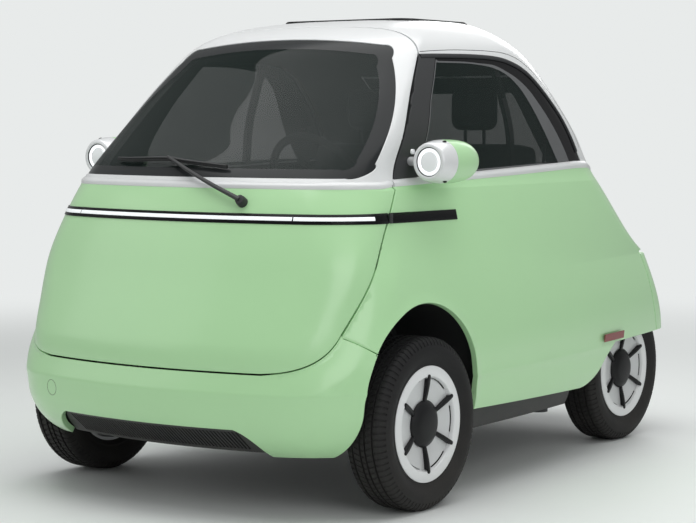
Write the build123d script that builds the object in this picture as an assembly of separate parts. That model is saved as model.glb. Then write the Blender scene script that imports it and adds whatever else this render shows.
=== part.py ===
from build123d import *
import os
from math import cos, hypot, radians, sin, sqrt

# A two-seat electric microcar, whose whole front is the door.
# Millimetres. +Z up, floor at Z = 0, the car faces -Y, and its left side is +X.

os.makedirs("parts", exist_ok=True)

# ---- driving sizes -------------------------------------------------------
WHEELBASE = 1563.0
FRONT_AXLE_Y = -731.5
REAR_AXLE_Y = FRONT_AXLE_Y + WHEELBASE
FRONT_HALF_TRACK = 627.5
REAR_HALF_TRACK = 452.5
TYRE_R = 260.5            # rolling radius of a 145/70 R13 tyre
TYRE_W = 145.0
BEAD_R = 165.0
WALL = 50.0               # doors and body walls, skin to lining
SKIN = 18.0               # single skin at wheel arches
GAP = 5.5                 # shut line round the door and the tailgate
BELT_Z = 955.0            # joint of the green body and the white upper frame
SILL_Z = 250.0
FLOOR_Z = 190.0           # underside of the floor tub
FLOOR_T = 28.0
AXLE_Z = TYRE_R

# Plan sections of the outer skin. Each is eight tangent arcs.
# z height, yf front, rf front crown radius, cf front corner radius, w half width, yw where
# it is widest, rs side radius, cr rear corner radius, rr rear crown radius, yr rear,
# wall share of WALL in plan, and drop of the lining below the skin.
SECTIONS = (
    #  z     yf    rf    cf   w    yw    rs    cr   rr    yr  wall drop
    (170, -1130, 1500, 300, 615, -650, 10500, 150, 1500, 1195, 1.0, 20),
    (270, -1250, 1550, 332, 672, -650, 10500, 150, 1500, 1250, 1.0, 0),
    (400, -1265, 1600, 325, 688, -650, 10500, 150, 1500, 1254, 1.0, 0),
    (540, -1228, 1600, 345, 686, -650, 10500, 150, 1500, 1188, 1.0, 0),
    (680, -1172, 1600, 258, 664, -600, 8500, 150, 1400, 1116, 1.0, 0),
    (780, -1135, 1600, 205, 638, -450, 8500, 200, 1400, 937, 1.0, 0),
    (874, -1095, 1600, 214, 617, -350, 8500, 260, 1300, 846, 1.0, 0),
    (955, -1052, 1580, 225, 597, -300, 9000, 300, 1200, 773, 1.0, 0),
    (990, -1025, 1550, 185, 580, -250, 9000, 320, 1100, 759, 1.0, 0),
    (1100, -895, 1550, 158, 565, -250, 9000, 320, 1100, 676, 1.0, 0),
    (1220, -755, 1500, 110, 537, -150, 8000, 340, 1000, 579, 0.96, 4),
    (1330, -635, 1500, 94, 500, -50, 7000, 340, 900, 480, 0.88, 10),
    (1400, -560, 1400, 105, 465, 0, 6000, 320, 800, 391, 0.76, 18),
    (1440, -490, 1300, 130, 425, 30, 5000, 320, 800, 330, 0.64, 25),
    (1470, -390, 1200, 160, 370, 50, 4000, 280, 700, 268, 0.52, 30),
    (1492, -230, 1000, 180, 260, 70, 3000, 150, 500, 190, 0.40, 34),
)
LOW_ROWS = SECTIONS[0:5]      # bumpers, wheel arches and tail, up to the tail crease
MID_ROWS = SECTIONS[4:8]      # waist, up to the belt
TOP_ROWS = SECTIONS[7:]       # windows and roof

# Side views, as (y, z): a start, then a line to (y, z) or an arc through (y, z) to (y, z).
DOOR_EDGE = ((-1190, 436), (-1105, 482, -1046, 549), (-762, 955), (-620, 1190, -460, 1374),
             (-434, 1428, -395, 1500), (-395, 1700), (-1500, 1700), (-1500, 436))
BUMPER_EDGE = ((-1600, 436), (-1190, 436), (-1105, 482, -1046, 549), (-965, 494), (-965, 0), (-1600, 0))
SIDE_WINDOW = ((-762, 985), (-620, 1200, -462, 1360), (-250, 1365), (-60, 1362),
               (120, 1290, 392, 1019), (119, 1013))
PILLAR_TRIM = ((-762, 985), (-620, 1200, -462, 1360), (-383, 1360), (-487, 1224), (-577, 1072),
               (-623, 985))
SIDE_LOWER = ((-700, 272), (-475, 272), (319, SILL_Z), (420, 275, 499, 327), (588, 385), (1400, 385),
              (1400, 0), (-700, 0))
REAR_SEAM = ((900, 690), (912, 680), (1040, 385), (1040, 0), (1500, 0), (1500, 690))

# Front views, as (x, z).
WINDSCREEN = ((-540, 992), (540, 992), (548, 1030), (492, 1250, 425, 1355), (405, 1388, 370, 1398),
              (0, 1421, -370, 1398), (-405, 1388, -425, 1355), (-492, 1250, -548, 1030))
GRILLE = ((-396, 192), (396, 192), (380, 230, 330, 269), (-330, 269), (-380, 230, -396, 192))
HATCH_HALF_W = 342.0
HATCH_Z = (694.0, 1340.0)
REAR_SLOPE = 38.0                     # the rear glass leans this far forward of upright
REAR_GLASS_AT = (0.0, 640.0, 1140.0)
REAR_GLASS = ((285, -197), (255, 197), (-255, 197), (-285, -197))    # on its own sloping plane

REFLECTOR = ((463, 396), (640, 396), (644, 422), (467, 422), (463, 396))
WINDOW_BAR = ((-54, 1000), (-26, 1000), (-26, 1400), (-54, 1400), (-54, 1000))

BAR_Z = 874.0             # the light bars' centre line
BAR_H = 32.0
STRIP_H = 12.0
STRIP_END_Y = -880.0
SIDE_BAR_END_Y = -472.0
STRIP_BREAK_X = 417.0     # a narrow break in the lit strip, each side
GLASS_T = 5.0

WIPER_PIVOT = (242.0, -1050.0, 919.0)
WIPER_TIP = (-115.0, -1012.0, 1040.0)
SLAT_PITCH = 12.0         # upright slots of the grille
SLOT_W = 7.0
SPOKE_HALF_W = 6.5
SPOKE_SIDE = ((58, 45), (74, 45), (100, 46.6), (134, 50.6), (139.5, 62.5), (148, 62.5), (148, 65.6),
              (118, 62.4), (90, 55), (58, 49))    # a wheel spoke edge-on: distance from the axle, offset outward
PLATE_HALF = 150.0        # number plate holes, each side of the middle
PLATE_Z = 520.0
PLATE_HOLE_R = 3.0

ARCH_Z = 338.0            # centre of the front wheel arch
ARCH_R = 284.0
WELL_R = 306.0
LINER_T = 5.0
WELL_X = 392.0            # inner wall of the front wheel wells

KINGPIN_X = 585.0
STUB_R = 15.0
RUN = 0.05                # running clearance at pins and shafts

DOOR_PIN = (605.0, -812.0)            # the front door turns about this upright line
DOOR_PIN_Z = (860.0, 888.0)
HATCH_PIN = (463.0, 1345.0)           # y and z of the rear hatch's pin
HATCH_PIN_HALF = 30.0
PIN_R = 3.0
KNUCKLE_R = 7.0
POCKET_R = 12.5
JACK_PADS = ((500, -380), (-500, -380), (500, 230), (-500, 230))
JACK_PAD_R = 35.0
JACK_PAD_Z = 172.0

SEAT_X = 222.0            # middle of each place on the bench
SEAT_HALF_W = 470.0
HUB = (225.0, -660.0, 973.0)          # centre of the steering wheel
COLUMN_TILT = 30.0
LAMP = (664.0, -703.0, 1039.0)        # front rim of the left lamp pod
LAMP_R = 66.0
LAMP_LENGTH = 236.0
POD_SPLIT = LAMP[1] + 66.0            # silver shell ahead of this, painted cap behind


# ---- helpers -------------------------------------------------------------
def toward(c, p, r):
    """The point at distance r from c, on the way to p."""
    d = hypot(p[0] - c[0], p[1] - c[1])
    return (c[0] + r * (p[0] - c[0]) / d, c[1] + r * (p[1] - c[1]) / d)


def meet(c1, r1, c2, r2, sign):
    """Where two circles cross, on the side with the lower (-1) or higher (+1) y."""
    dx, dy = c2[0] - c1[0], c2[1] - c1[1]
    d = hypot(dx, dy)
    a = (r1 * r1 - r2 * r2 + d * d) / (2 * d)
    h = sqrt(max(r1 * r1 - a * a, 0))
    x, y = c1[0] + a * dx / d, c1[1] + a * dy / d
    ends = [(x - h * dy / d, y + h * dx / d), (x + h * dy / d, y - h * dx / d)]
    return max(ends, key=lambda p: sign * p[1])


def section(row, inset, drop):
    """One plan section as a face, set in from the skin by inset and lowered by drop."""
    z, yf, rf, cf, w, yw, rs, cr, rr, yr = row[:10]
    z = z - drop
    front, side, rear = (0, yf + rf), (w - rs, yw), (0, yr - rr)
    corner_f = meet(front, rf - cf, side, rs - cf, -1)
    corner_r = meet(rear, rr - cr, side, rs - cr, 1)
    rf, cf, rs, cr, rr = (r - inset for r in (rf, cf, rs, cr, rr))
    a, b = toward(front, corner_f, rf), toward(side, corner_f, rs)
    c, d = toward(side, corner_r, rs), toward(rear, corner_r, rr)

    def arc(centre, p, q, r):
        mid = toward(centre, ((p[0] + q[0]) / 2, (p[1] + q[1]) / 2), r)
        return [(p[0], p[1], z), (mid[0], mid[1], z), (q[0], q[1], z)]

    half = [arc(corner_f, a, b, cf), arc(side, b, c, rs), arc(corner_r, c, d, cr)]
    mirrored = [[(-x, y, h) for x, y, h in reversed(points)] for points in reversed(half)]
    nose = [(-a[0], a[1], z), (0, yf + inset, z), (a[0], a[1], z)]
    tail = [(d[0], d[1], z), (0, yr - inset, z), (-d[0], d[1], z)]
    return Face(Wire([ThreePointArc(*points) for points in [nose, *half, tail, *mirrored]]))


def form(rows, inset):
    """The solid inside the skin, set in by a constant inset in plan."""
    return loft([section(row, inset, 0) for row in rows])


def lining(rows):
    return loft([section(row, row[10] * WALL, row[11]) for row in rows])


def prism(plane, outline, half, shift=(0, 0)):
    """A side view (YZ) or front view (XZ) outline, extruded both ways."""
    here = outline[0]
    edges = []
    for step in outline[1:]:
        end = step[-2:]
        edges.append(ThreePointArc(here, step[:2], end) if len(step) == 4 else Line(here, end))
        here = end
    if here != outline[0]:
        edges.append(Line(here, outline[0]))
    return extrude(plane * Pos(*shift) * Face(Wire(edges)), amount=half, both=True)


def slab(z0, z1):
    return Pos(0, 0, (z0 + z1) / 2) * Box(4000, 4000, z1 - z0)


def block(x0, x1, y0, y1, z0, z1):
    return Pos((x0 + x1) / 2, (y0 + y1) / 2, (z0 + z1) / 2) * Box(x1 - x0, y1 - y0, z1 - z0)


def both_sides(shape):
    return shape + mirror(shape, about=Plane.YZ)


def rod(start, end, radius):
    """A round bar from start to end."""
    way = Vector(*end) - Vector(*start)
    return Plane(origin=start, z_dir=way) * Cylinder(radius, way.length, align=(Align.CENTER, Align.CENTER, Align.MIN))


def barrel_x(x0, x1, y, z, radius):
    return rod((x0, y, z), (x1, y, z), radius)


def save(name, shape):
    solids = [solid for item in (shape if isinstance(shape, list) else [shape]) for solid in item.solids()]
    export_step(solids[0] if len(solids) == 1 else Compound(children=solids), f"parts/{name}.step")


# ---- shared forms --------------------------------------------------------
low, mid, top = (form(rows, 0) for rows in (LOW_ROWS, MID_ROWS, TOP_ROWS))
SHELL_LOW = low - lining(LOW_ROWS)
SHELL_MID = mid - lining(MID_ROWS)
SHELL_TOP = top - lining(TOP_ROWS)
LINING = lining(LOW_ROWS) + lining(MID_ROWS)
DOOR = prism(Plane.YZ, DOOR_EDGE, 900)
PAST_DOOR = prism(Plane.YZ, DOOR_EDGE, 900, (GAP, -GAP))
HATCH = block(-HATCH_HALF_W, HATCH_HALF_W, 250, 1500, *HATCH_Z)
PAST_HATCH = block(-HATCH_HALF_W - GAP, HATCH_HALF_W + GAP, 250, 1500, HATCH_Z[0] - GAP, HATCH_Z[1] + GAP)


def rear_aperture():
    """The rear glass's outline, cut square to its slope."""
    plane = Plane(origin=REAR_GLASS_AT, x_dir=(1, 0, 0), z_dir=(0, cos(radians(REAR_SLOPE)), sin(radians(REAR_SLOPE))))
    corners = [Line(REAR_GLASS[i - 1], REAR_GLASS[i]) for i in range(4)]
    return extrude(plane * Face(Wire(corners)), amount=300, both=True)


def layer(rows, outer, inner):
    return form(rows, outer) - form(rows, inner)


def bar_zone(height):
    return slab(BAR_Z - height / 2, BAR_Z + height / 2)


def front_arch():
    """The wheel arch cut through the skin, open below."""
    tunnel = barrel_x(-900, 900, FRONT_AXLE_Y, ARCH_Z, ARCH_R)
    return tunnel + block(-900, 900, FRONT_AXLE_Y - ARCH_R, FRONT_AXLE_Y + ARCH_R - 6, 0, ARCH_Z)


def front_well(radius, inner_x):
    """The left front wheel's room, behind a single skin."""
    room = barrel_x(inner_x, 900, FRONT_AXLE_Y, ARCH_Z, radius)
    room += block(inner_x, 900, FRONT_AXLE_Y - radius, FRONT_AXLE_Y + radius, 0, ARCH_Z)
    return room & form(LOW_ROWS, SKIN)


def rear_well():
    room = barrel_x(300, 900, REAR_AXLE_Y, AXLE_Z, TYRE_R + 16)
    return room & form(LOW_ROWS, SKIN)


WELLS = both_sides(front_well(WELL_R + LINER_T, WELL_X - LINER_T))
REAR_WELLS = both_sides(rear_well())
ARCHES = front_arch()
BUMPER_ZONE = prism(Plane.YZ, BUMPER_EDGE, 900, (0, -GAP))
REAR_ZONE = prism(Plane.YZ, REAR_SEAM, 900)
LIGHT_BAR = layer(MID_ROWS, -3, 9) & bar_zone(BAR_H)
GLAZING = layer(TOP_ROWS, 3, 3 + GLASS_T)


# ---- hinges --------------------------------------------------------------
def door_pin_rod(z0, z1, radius):
    return rod((*DOOR_PIN, z0), (*DOOR_PIN, z1), radius)


def hatch_pin_rod(x0, x1, radius):
    return barrel_x(x0, x1, *HATCH_PIN, radius)


DOOR_POCKET = door_pin_rod(DOOR_PIN_Z[0] - 6, DOOR_PIN_Z[1] + 6, POCKET_R)
HATCH_POCKET = hatch_pin_rod(-HATCH_PIN_HALF - 6, HATCH_PIN_HALF + 6, POCKET_R)


def door_tongue(way, z0, z1):
    """A cranked tongue from the door's pin, behind the light bar, towards the front (-1) or the rear (1)."""
    x, y = DOOR_PIN
    crank, plate = sorted((way * 3.5, way * 6)), sorted((way * 3.5, way * 34))
    tongue = block(x - 24, x - 3, y + crank[0], y + crank[1], z0, z1)
    return tongue + block(x - 24, x - 14, y + plate[0], y + plate[1], z0, z1)


def tongue_room():
    """The room in the body's edge for the tongue of the door's knuckle."""
    x, y = DOOR_PIN
    return block(x - 26, x - 8, y - 16, y - 1, DOOR_PIN_Z[0] - 2, sum(DOOR_PIN_Z) / 2 + 1.5)


def door_hinge_leaf():
    """The door's knuckle, on a tongue let into the door."""
    z0, z1 = DOOR_PIN_Z[0], sum(DOOR_PIN_Z) / 2 - 0.5
    leaf = door_pin_rod(z0, z1, KNUCKLE_R) + door_tongue(-1, z0, z1)
    return leaf - door_pin_rod(0, 1000, PIN_R + RUN)


def door_hinge_pin():
    """The body's knuckle and the pin that both turn on."""
    z0, z1 = sum(DOOR_PIN_Z) / 2 + 0.5, DOOR_PIN_Z[1]
    leaf = door_pin_rod(z0, z1, KNUCKLE_R) + door_tongue(1, z0, z1)
    return leaf + door_pin_rod(DOOR_PIN_Z[0], z1, PIN_R)


def hatch_tongue(x0, x1, way):
    """A tongue along the rear slope from the hatch's pin, down (1) or up (-1) it."""
    tongue = block(x0, x1, -34 if way < 0 else 2, -2 if way < 0 else 34, -12, 0)
    return Pos(0, *HATCH_PIN) * Rot(REAR_SLOPE - 90, 0, 0) * tongue


def hatch_hinge_leaf():
    leaf = hatch_pin_rod(-10, 10, KNUCKLE_R) + hatch_tongue(-10, 10, 1)
    return leaf - hatch_pin_rod(-50, 50, PIN_R + RUN)


def hatch_hinge_pin():
    leaf = hatch_pin_rod(-HATCH_PIN_HALF, HATCH_PIN_HALF, PIN_R)
    for x0, x1 in ((-HATCH_PIN_HALF, -10.5), (10.5, HATCH_PIN_HALF)):
        leaf += hatch_pin_rod(x0, x1, KNUCKLE_R) + hatch_tongue(x0, x1, -1)
    return leaf


# ---- front door ----------------------------------------------------------
def door_panel():
    skin = (SHELL_LOW + SHELL_MID) & DOOR
    return skin - LIGHT_BAR - DOOR_POCKET - door_hinge_leaf()


def door_frame():
    return (SHELL_TOP & DOOR) - prism(Plane.XZ, WINDSCREEN, 1500)


def windscreen():
    return (GLAZING & DOOR) & prism(Plane.XZ, WINDSCREEN, 1500)


def strip_zone():
    """The lit strip's run: across the nose and round both corners, with a narrow break each side."""
    run = block(-900, 900, -1500, STRIP_END_Y, BAR_Z - STRIP_H / 2, BAR_Z + STRIP_H / 2)
    breaks = block(STRIP_BREAK_X - 2, STRIP_BREAK_X + 2, -1500, 0, 800, 950)
    return run - both_sides(breaks)


def door_bar_strip():
    return layer(MID_ROWS, -4, 2) & strip_zone()


def strip_slot():
    """The slot that the lit strip lies in."""
    return layer(MID_ROWS, -10, 2) & strip_zone()


def door_bar_trim():
    return (LIGHT_BAR & DOOR) - strip_slot() - DOOR_POCKET


def door_lining():
    """A slim shelf across the inside of the door, below the windscreen."""
    shelf = layer(MID_ROWS, WALL, WALL + 46) & slab(885, 940)
    return shelf & block(-500, 500, -1400, -880, 800, 1000)


def wiper():
    """Pivot cap, arm and blade, lying along the foot of the windscreen."""
    cap = rod(WIPER_PIVOT, (WIPER_PIVOT[0], WIPER_PIVOT[1] - 26, WIPER_PIVOT[2] + 12), 16)
    arm = rod((WIPER_PIVOT[0], WIPER_PIVOT[1] - 18, WIPER_PIVOT[2] + 8), WIPER_TIP, 6)
    left_end = (WIPER_TIP[0] + 250, WIPER_TIP[1] - 6, WIPER_TIP[2] - 24)
    right_end = (WIPER_TIP[0] - 235, WIPER_TIP[1] + 38, WIPER_TIP[2] - 4)
    blade = rod(WIPER_TIP, left_end, 5) + rod(WIPER_TIP, right_end, 5)
    return (cap + arm + blade + Pos(*WIPER_TIP) * Sphere(8)) - form(MID_ROWS, 0) - form(TOP_ROWS, 0)


# ---- body ----------------------------------------------------------------
def body_skin():
    skin = SHELL_LOW + SHELL_MID
    skin = skin - PAST_DOOR - BUMPER_ZONE - REAR_ZONE - PAST_HATCH - ARCHES - WELLS - REAR_WELLS
    skin = skin - prism(Plane.YZ, SIDE_LOWER, 900) - block(-900, 900, -1500, -1030, 0, 440)
    skin = skin - (LIGHT_BAR & block(-900, 900, -1500, SIDE_BAR_END_Y, 800, 950))
    return skin - DOOR_POCKET - door_hinge_pin() - tongue_room()


def side_bars():
    bars = (LIGHT_BAR & block(-900, 900, -1500, SIDE_BAR_END_Y, 800, 950)) - PAST_DOOR
    return bars - DOOR_POCKET


def roof_frame():
    frame = SHELL_TOP - PAST_DOOR - PAST_HATCH
    frame -= prism(Plane.YZ, SIDE_WINDOW, 900)
    frame = frame - sunroof() - (Pos(0, -20, 1460) * Box(470, 370, 120)) - HATCH_POCKET - hatch_hinge_pin()
    return max(frame.solids(), key=lambda solid: solid.volume)


def sunroof():
    """A low crowned panel on the flat of the roof."""
    lid = Pos(0, -20, 1489) * Box(520, 420, 15)
    lid = fillet(lid.edges().filter_by(Axis.Z), 60)
    return chamfer(lid.faces().sort_by(Axis.Z)[-1].edges(), 5)


def front_bumper():
    cover = SHELL_LOW & BUMPER_ZONE & block(-900, 900, -1500, -900, 184, 600)
    return cover - ARCHES - WELLS - prism(Plane.XZ, GRILLE, 1500)


def grille():
    """A black panel with upright slats, set back in the bumper's mouth."""
    mouth = prism(Plane.XZ, GRILLE, 1500) & block(-500, 500, -1400, -1000, 150, 300)
    panel = layer(LOW_ROWS[0:2], 10, 26) & mouth
    count = int(2 * 330 / SLAT_PITCH)
    slots = [Pos((i - (count - 1) / 2) * SLAT_PITCH, -1200, 231) * Box(SLOT_W, 300, 58) for i in range(count)]
    return panel - slots


def rear_panel():
    panel = SHELL_LOW & REAR_ZONE & slab(385, 676)
    panel = panel & prism(Plane.YZ, REAR_SEAM, 900, (GAP, 0))
    holes = [rod((s * PLATE_HALF, 1300, PLATE_Z), (s * PLATE_HALF, 1100, PLATE_Z), PLATE_HOLE_R) for s in (-1, 1)]
    return panel - REAR_WELLS - holes


def rear_valance():
    apron = layer(LOW_ROWS, 22, 22 + SKIN) & block(-350, 350, 1000, 1400, 240, 385)
    return apron


def tailgate():
    lower = (SHELL_MID & HATCH) - rear_light_bar()
    upper = (SHELL_TOP & HATCH) - rear_aperture()
    return lower + upper - HATCH_POCKET - hatch_hinge_leaf()


def rear_glass():
    return (GLAZING & block(-400, 400, 300, 1500, 900, 1400)) & rear_aperture()


def rear_light_bar():
    return LIGHT_BAR & block(-HATCH_HALF_W, HATCH_HALF_W, 250, 1500, 800, 950)


def side_reflectors():
    """A red reflector on each side, ahead of the rear wheel opening."""
    return layer(LOW_ROWS, -3, 0) & prism(Plane.YZ, REFLECTOR, 900)


def window_bars():
    """The upright of each side window's sliding pane, inside the glass."""
    uprights = layer(TOP_ROWS, 8, 24) & prism(Plane.YZ, WINDOW_BAR, 900)
    return (uprights & prism(Plane.YZ, SIDE_WINDOW, 900))


def side_glass():
    panes = GLAZING & prism(Plane.YZ, SIDE_WINDOW, 900)
    return panes - prism(Plane.YZ, PILLAR_TRIM, 900)


def pillar_trims():
    trims = layer(TOP_ROWS, 0, 30) & (prism(Plane.YZ, PILLAR_TRIM, 900) & prism(Plane.YZ, SIDE_WINDOW, 900))
    return trims - PAST_DOOR


def floor_tub():
    """Floor tray with a rim, a step behind the seat and the luggage floor over the rear wheels."""
    cavity = form(LOW_ROWS, WALL + 40)
    tray = (lining(LOW_ROWS) & slab(FLOOR_Z, 300)) - (cavity & slab(FLOOR_Z + FLOOR_T, 400))
    tray = (tray & block(-900, 900, -1500, 330, 0, 400)) - block(-420, 420, -1500, -1065, 0, 400)
    inside = lining(LOW_ROWS)
    step = inside & block(-900, 900, 305, 330, FLOOR_Z, 560)
    deck = inside & block(-900, 900, 305, 1180, 542, 560)
    return (tray + step + deck) - WELLS


def jack_pads():
    """Flat pads under the floor, where a jack or a lift takes the car."""
    return [rod((x, y, JACK_PAD_Z), (x, y, FLOOR_Z), JACK_PAD_R) for x, y in JACK_PADS]


def arch_liners():
    shell = front_well(WELL_R + LINER_T, WELL_X - LINER_T) - front_well(WELL_R, WELL_X)
    return both_sides(shell & block(300, 900, -1200, -300, FLOOR_Z, 700)) - ARCHES


# ---- cabin ---------------------------------------------------------------
def pad(x0, x1, y0, y1, z0, z1, radius):
    return fillet(block(x0, x1, y0, y1, z0, z1).edges(), radius)


def seat_cushion():
    return pad(-SEAT_HALF_W, SEAT_HALF_W, -420, 75, 400, 520, 40)


def seat_back():
    squab = pad(-SEAT_HALF_W, SEAT_HALF_W, -50, 50, 0, 590, 38)
    return Pos(0, 130, 522) * Rot(-15, 0, 0) * squab - head_posts()


def head_restraints():
    rest = pad(-82, 82, -40, 40, -75, 75, 34)
    return both_sides(Pos(SEAT_X, 258, 1201) * rest) - head_posts()


def head_posts():
    post = rod((SEAT_X - 38, 262, 1060), (SEAT_X - 38, 258, 1150), 6)
    post += rod((SEAT_X + 38, 262, 1060), (SEAT_X + 38, 258, 1150), 6)
    return both_sides(post)


def battery():
    return block(-420, 420, -380, 290, FLOOR_Z + FLOOR_T, 398)


AXIS = Vector(0, cos(radians(COLUMN_TILT)), sin(radians(COLUMN_TILT)))
HUB_PLANE = Plane(origin=HUB, x_dir=(1, 0, 0), z_dir=AXIS)
WHEEL_RIM_R = 160.0


def steering_wheel():
    rim = Torus(WHEEL_RIM_R, 14)
    hub = Pos(0, 0, -14) * Cylinder(46, 36)
    spokes = [Rot(0, 0, a) * Pos(WHEEL_RIM_R / 2 + 18, 0, -6) * Box(WHEEL_RIM_R - 40, 30, 12) for a in (0, 90, 180)]
    shaft = Pos(0, 0, -55) * Cylinder(14, 60)
    return HUB_PLANE * (rim + hub + spokes + shaft)


def steering_column():
    """A pillar from the floor, with the head that holds the steering wheel's shaft."""
    head = HUB_PLANE * (Pos(0, 0, -105) * Cylinder(34, 120) - Pos(0, 0, -70) * Cylinder(14 + RUN, 60))
    foot = (HUB[0], -900, FLOOR_Z)
    neck = (HUB[0], HUB[1] - 105 * cos(radians(COLUMN_TILT)), HUB[2] - 105 * sin(radians(COLUMN_TILT)) - 10)
    pillar = rod(foot, neck, 28)
    bore = HUB_PLANE * (Pos(0, 0, -70) * Cylinder(14 + RUN, 60))
    return ((head + pillar) - bore) & slab(FLOOR_Z + FLOOR_T, 1200)


# ---- lamps ---------------------------------------------------------------
def pod(y0, y1):
    """A slice of the left lamp pod's barrel between two places along Y, before its axis is set."""
    x, y, z = LAMP
    outline = [Line((x, y), (x + 52, y)), Line((x + 52, y), (x + 58, y + 6)),
               ThreePointArc((x + 58, y + 6), (x + 65, y + 45), (x + LAMP_R, y + 95)),
               ThreePointArc((x + LAMP_R, y + 95), (x + 54, y + 194), (x + 14, y + LAMP_LENGTH)),
               Line((x + 14, y + LAMP_LENGTH), (x, y + LAMP_LENGTH)), Line((x, y + LAMP_LENGTH), (x, y))]
    shape = revolve(Pos(0, 0, z) * Face(Wire(outline)), Axis((x, y, z), (0, 1, 0)))
    return shape & block(0, 900, y0, y1, 900, 1200)


def lamp_shells():
    shell = pod(LAMP[1] - 1, POD_SPLIT) - rod(LAMP, (LAMP[0], LAMP[1] + 14, LAMP[2]), 44)
    foot = block(555, 618, LAMP[1] + 24, LAMP[1] + 64, LAMP[2] - 16, LAMP[2] + 16)
    foot -= form(TOP_ROWS, 0)
    return both_sides(shell + foot)


def lamp_caps():
    return both_sides(pod(POD_SPLIT, LAMP[1] + 300))


def lamp_lenses():
    return both_sides(rod(LAMP, (LAMP[0], LAMP[1] + 14, LAMP[2]), 44))


# ---- wheels and running gear ---------------------------------------------
def wheel_plane(x, y):
    """The wheel's own frame: Z outward along the axle."""
    return Plane(origin=(x, y, AXLE_Z), x_dir=(0, 1 if x > 0 else -1, 0), z_dir=(1 if x > 0 else -1, 0, 0))


def lathe(outline):
    """Outline of (radius, offset) steps, turned about the axle."""
    here = outline[0]
    edges = []
    for step in outline[1:] + (outline[0],):
        end = step[-2:]
        edges.append(ThreePointArc(here, step[:2], end) if len(step) == 4 else Line(here, end))
        here = end
    return revolve(Plane.XZ * Face(Wire(edges)), Axis.Z)


def tyre():
    half = TYRE_W / 2
    return lathe(((BEAD_R, -50), (176, -57), (213, -half, 248, -62), (257, -57, TYRE_R, -46),
                  (TYRE_R, 46), (257, 57, 248, 62), (213, half, 176, 57), (BEAD_R, 50)))


def rim():
    """Barrel, dished face with its outer ring, hub with the axle's bore, and the brake disc."""
    barrel = lathe(((BEAD_R, -50), (BEAD_R, 50), (BEAD_R, 57.3), (175, 57.3), (175, 62), (141, 62),
                    (137, 50), (100, 46), (73, 42), (45, 38), (45, 34), (73, 37), (100, 41), (138, 45),
                    (155, 40), (155, -50)))
    hub = lathe(((STUB_R + RUN, -12), (110, -12), (110, -6), (48, -6), (48, 38), (STUB_R + RUN, 38)))
    return barrel + hub


def star():
    """Domed centre cap with six spokes, standing in the dish and reaching over the ring."""
    cap = lathe(((0, 38.2), (45, 38.2), (71, 42.2), (71, 47), (50, 61), (0, 66)))
    spoke = prism(Plane.XZ, SPOKE_SIDE, SPOKE_HALF_W)
    return cap + [Rot(0, 0, 60 * i + 30) * spoke for i in range(6)]


def knuckle():
    """Left steering knuckle: kingpin post, stub axle and steering arm."""
    post = rod((KINGPIN_X, FRONT_AXLE_Y, 196), (KINGPIN_X, FRONT_AXLE_Y, 325), 13)
    post += rod((KINGPIN_X, FRONT_AXLE_Y, 222), (KINGPIN_X, FRONT_AXLE_Y, 299), 24)
    stub = barrel_x(KINGPIN_X, FRONT_HALF_TRACK + 34, FRONT_AXLE_Y, AXLE_Z, STUB_R)
    arm = rod((KINGPIN_X, FRONT_AXLE_Y, 240), (KINGPIN_X - 28, FRONT_AXLE_Y + 95, 240), 9)
    return post + stub + arm


def front_suspension():
    """Cross beam, two wishbones each side and their dampers, standing at ride height."""
    tower_x = WELL_X + 20
    beam = block(-tower_x, tower_x, FRONT_AXLE_Y - 45, FRONT_AXLE_Y + 45, FLOOR_Z - 30, FLOOR_Z)
    side = None
    for z in (209.0, 312.0):
        arm = rod((KINGPIN_X, FRONT_AXLE_Y, z), (tower_x - 8, FRONT_AXLE_Y - 70, z), 9)
        arm += rod((KINGPIN_X, FRONT_AXLE_Y, z), (tower_x - 8, FRONT_AXLE_Y + 70, z), 9)
        arm += rod((KINGPIN_X, FRONT_AXLE_Y, z - 12), (KINGPIN_X, FRONT_AXLE_Y, z + 12), 22)
        arm -= rod((KINGPIN_X, FRONT_AXLE_Y, z - 20), (KINGPIN_X, FRONT_AXLE_Y, z + 20), 13 + RUN)
        side = arm if side is None else side + arm
    side += block(WELL_X, tower_x, FRONT_AXLE_Y - 82, FRONT_AXLE_Y + 82, FLOOR_Z - 30, 330)
    side += rod((490, FRONT_AXLE_Y, 209), (450, FRONT_AXLE_Y, ARCH_Z + WELL_R - 2), 14)
    side += rod((471, FRONT_AXLE_Y, 395), (455, FRONT_AXLE_Y, 590), 32)
    side += rod((490, FRONT_AXLE_Y - 30, 209), (490, FRONT_AXLE_Y + 30, 209), 12)
    return beam + both_sides(side)


def rear_suspension():
    """Trailing arms with the rear stub axles, their cross tube and dampers."""
    pivot_y = REAR_AXLE_Y - 330
    tube = barrel_x(-330, 330, pivot_y, 250, 26)
    arm = block(285, 335, pivot_y - 26, REAR_AXLE_Y + 40, 224, 276)
    arm += barrel_x(335, REAR_HALF_TRACK + 34, REAR_AXLE_Y, AXLE_Z, STUB_R)
    arm += rod((310, REAR_AXLE_Y - 60, 270), (310, REAR_AXLE_Y - 90, 540), 14)
    arm += rod((310, REAR_AXLE_Y - 72, 380), (310, REAR_AXLE_Y - 86, 520), 32)
    return tube + both_sides(arm)


def motor():
    """Plain block of the drive unit between the rear wheels."""
    unit = block(-210, 210, REAR_AXLE_Y - 130, REAR_AXLE_Y + 150, 190, 430)
    return fillet(unit.edges().filter_by(Axis.X), 30)


# ---- write the pieces ----------------------------------------------------
def halves(shape):
    return {"left": shape & block(0, 900, -1500, 1500, 0, 1600), "right": shape & block(-900, 0, -1500, 1500, 0, 1600)}


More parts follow.
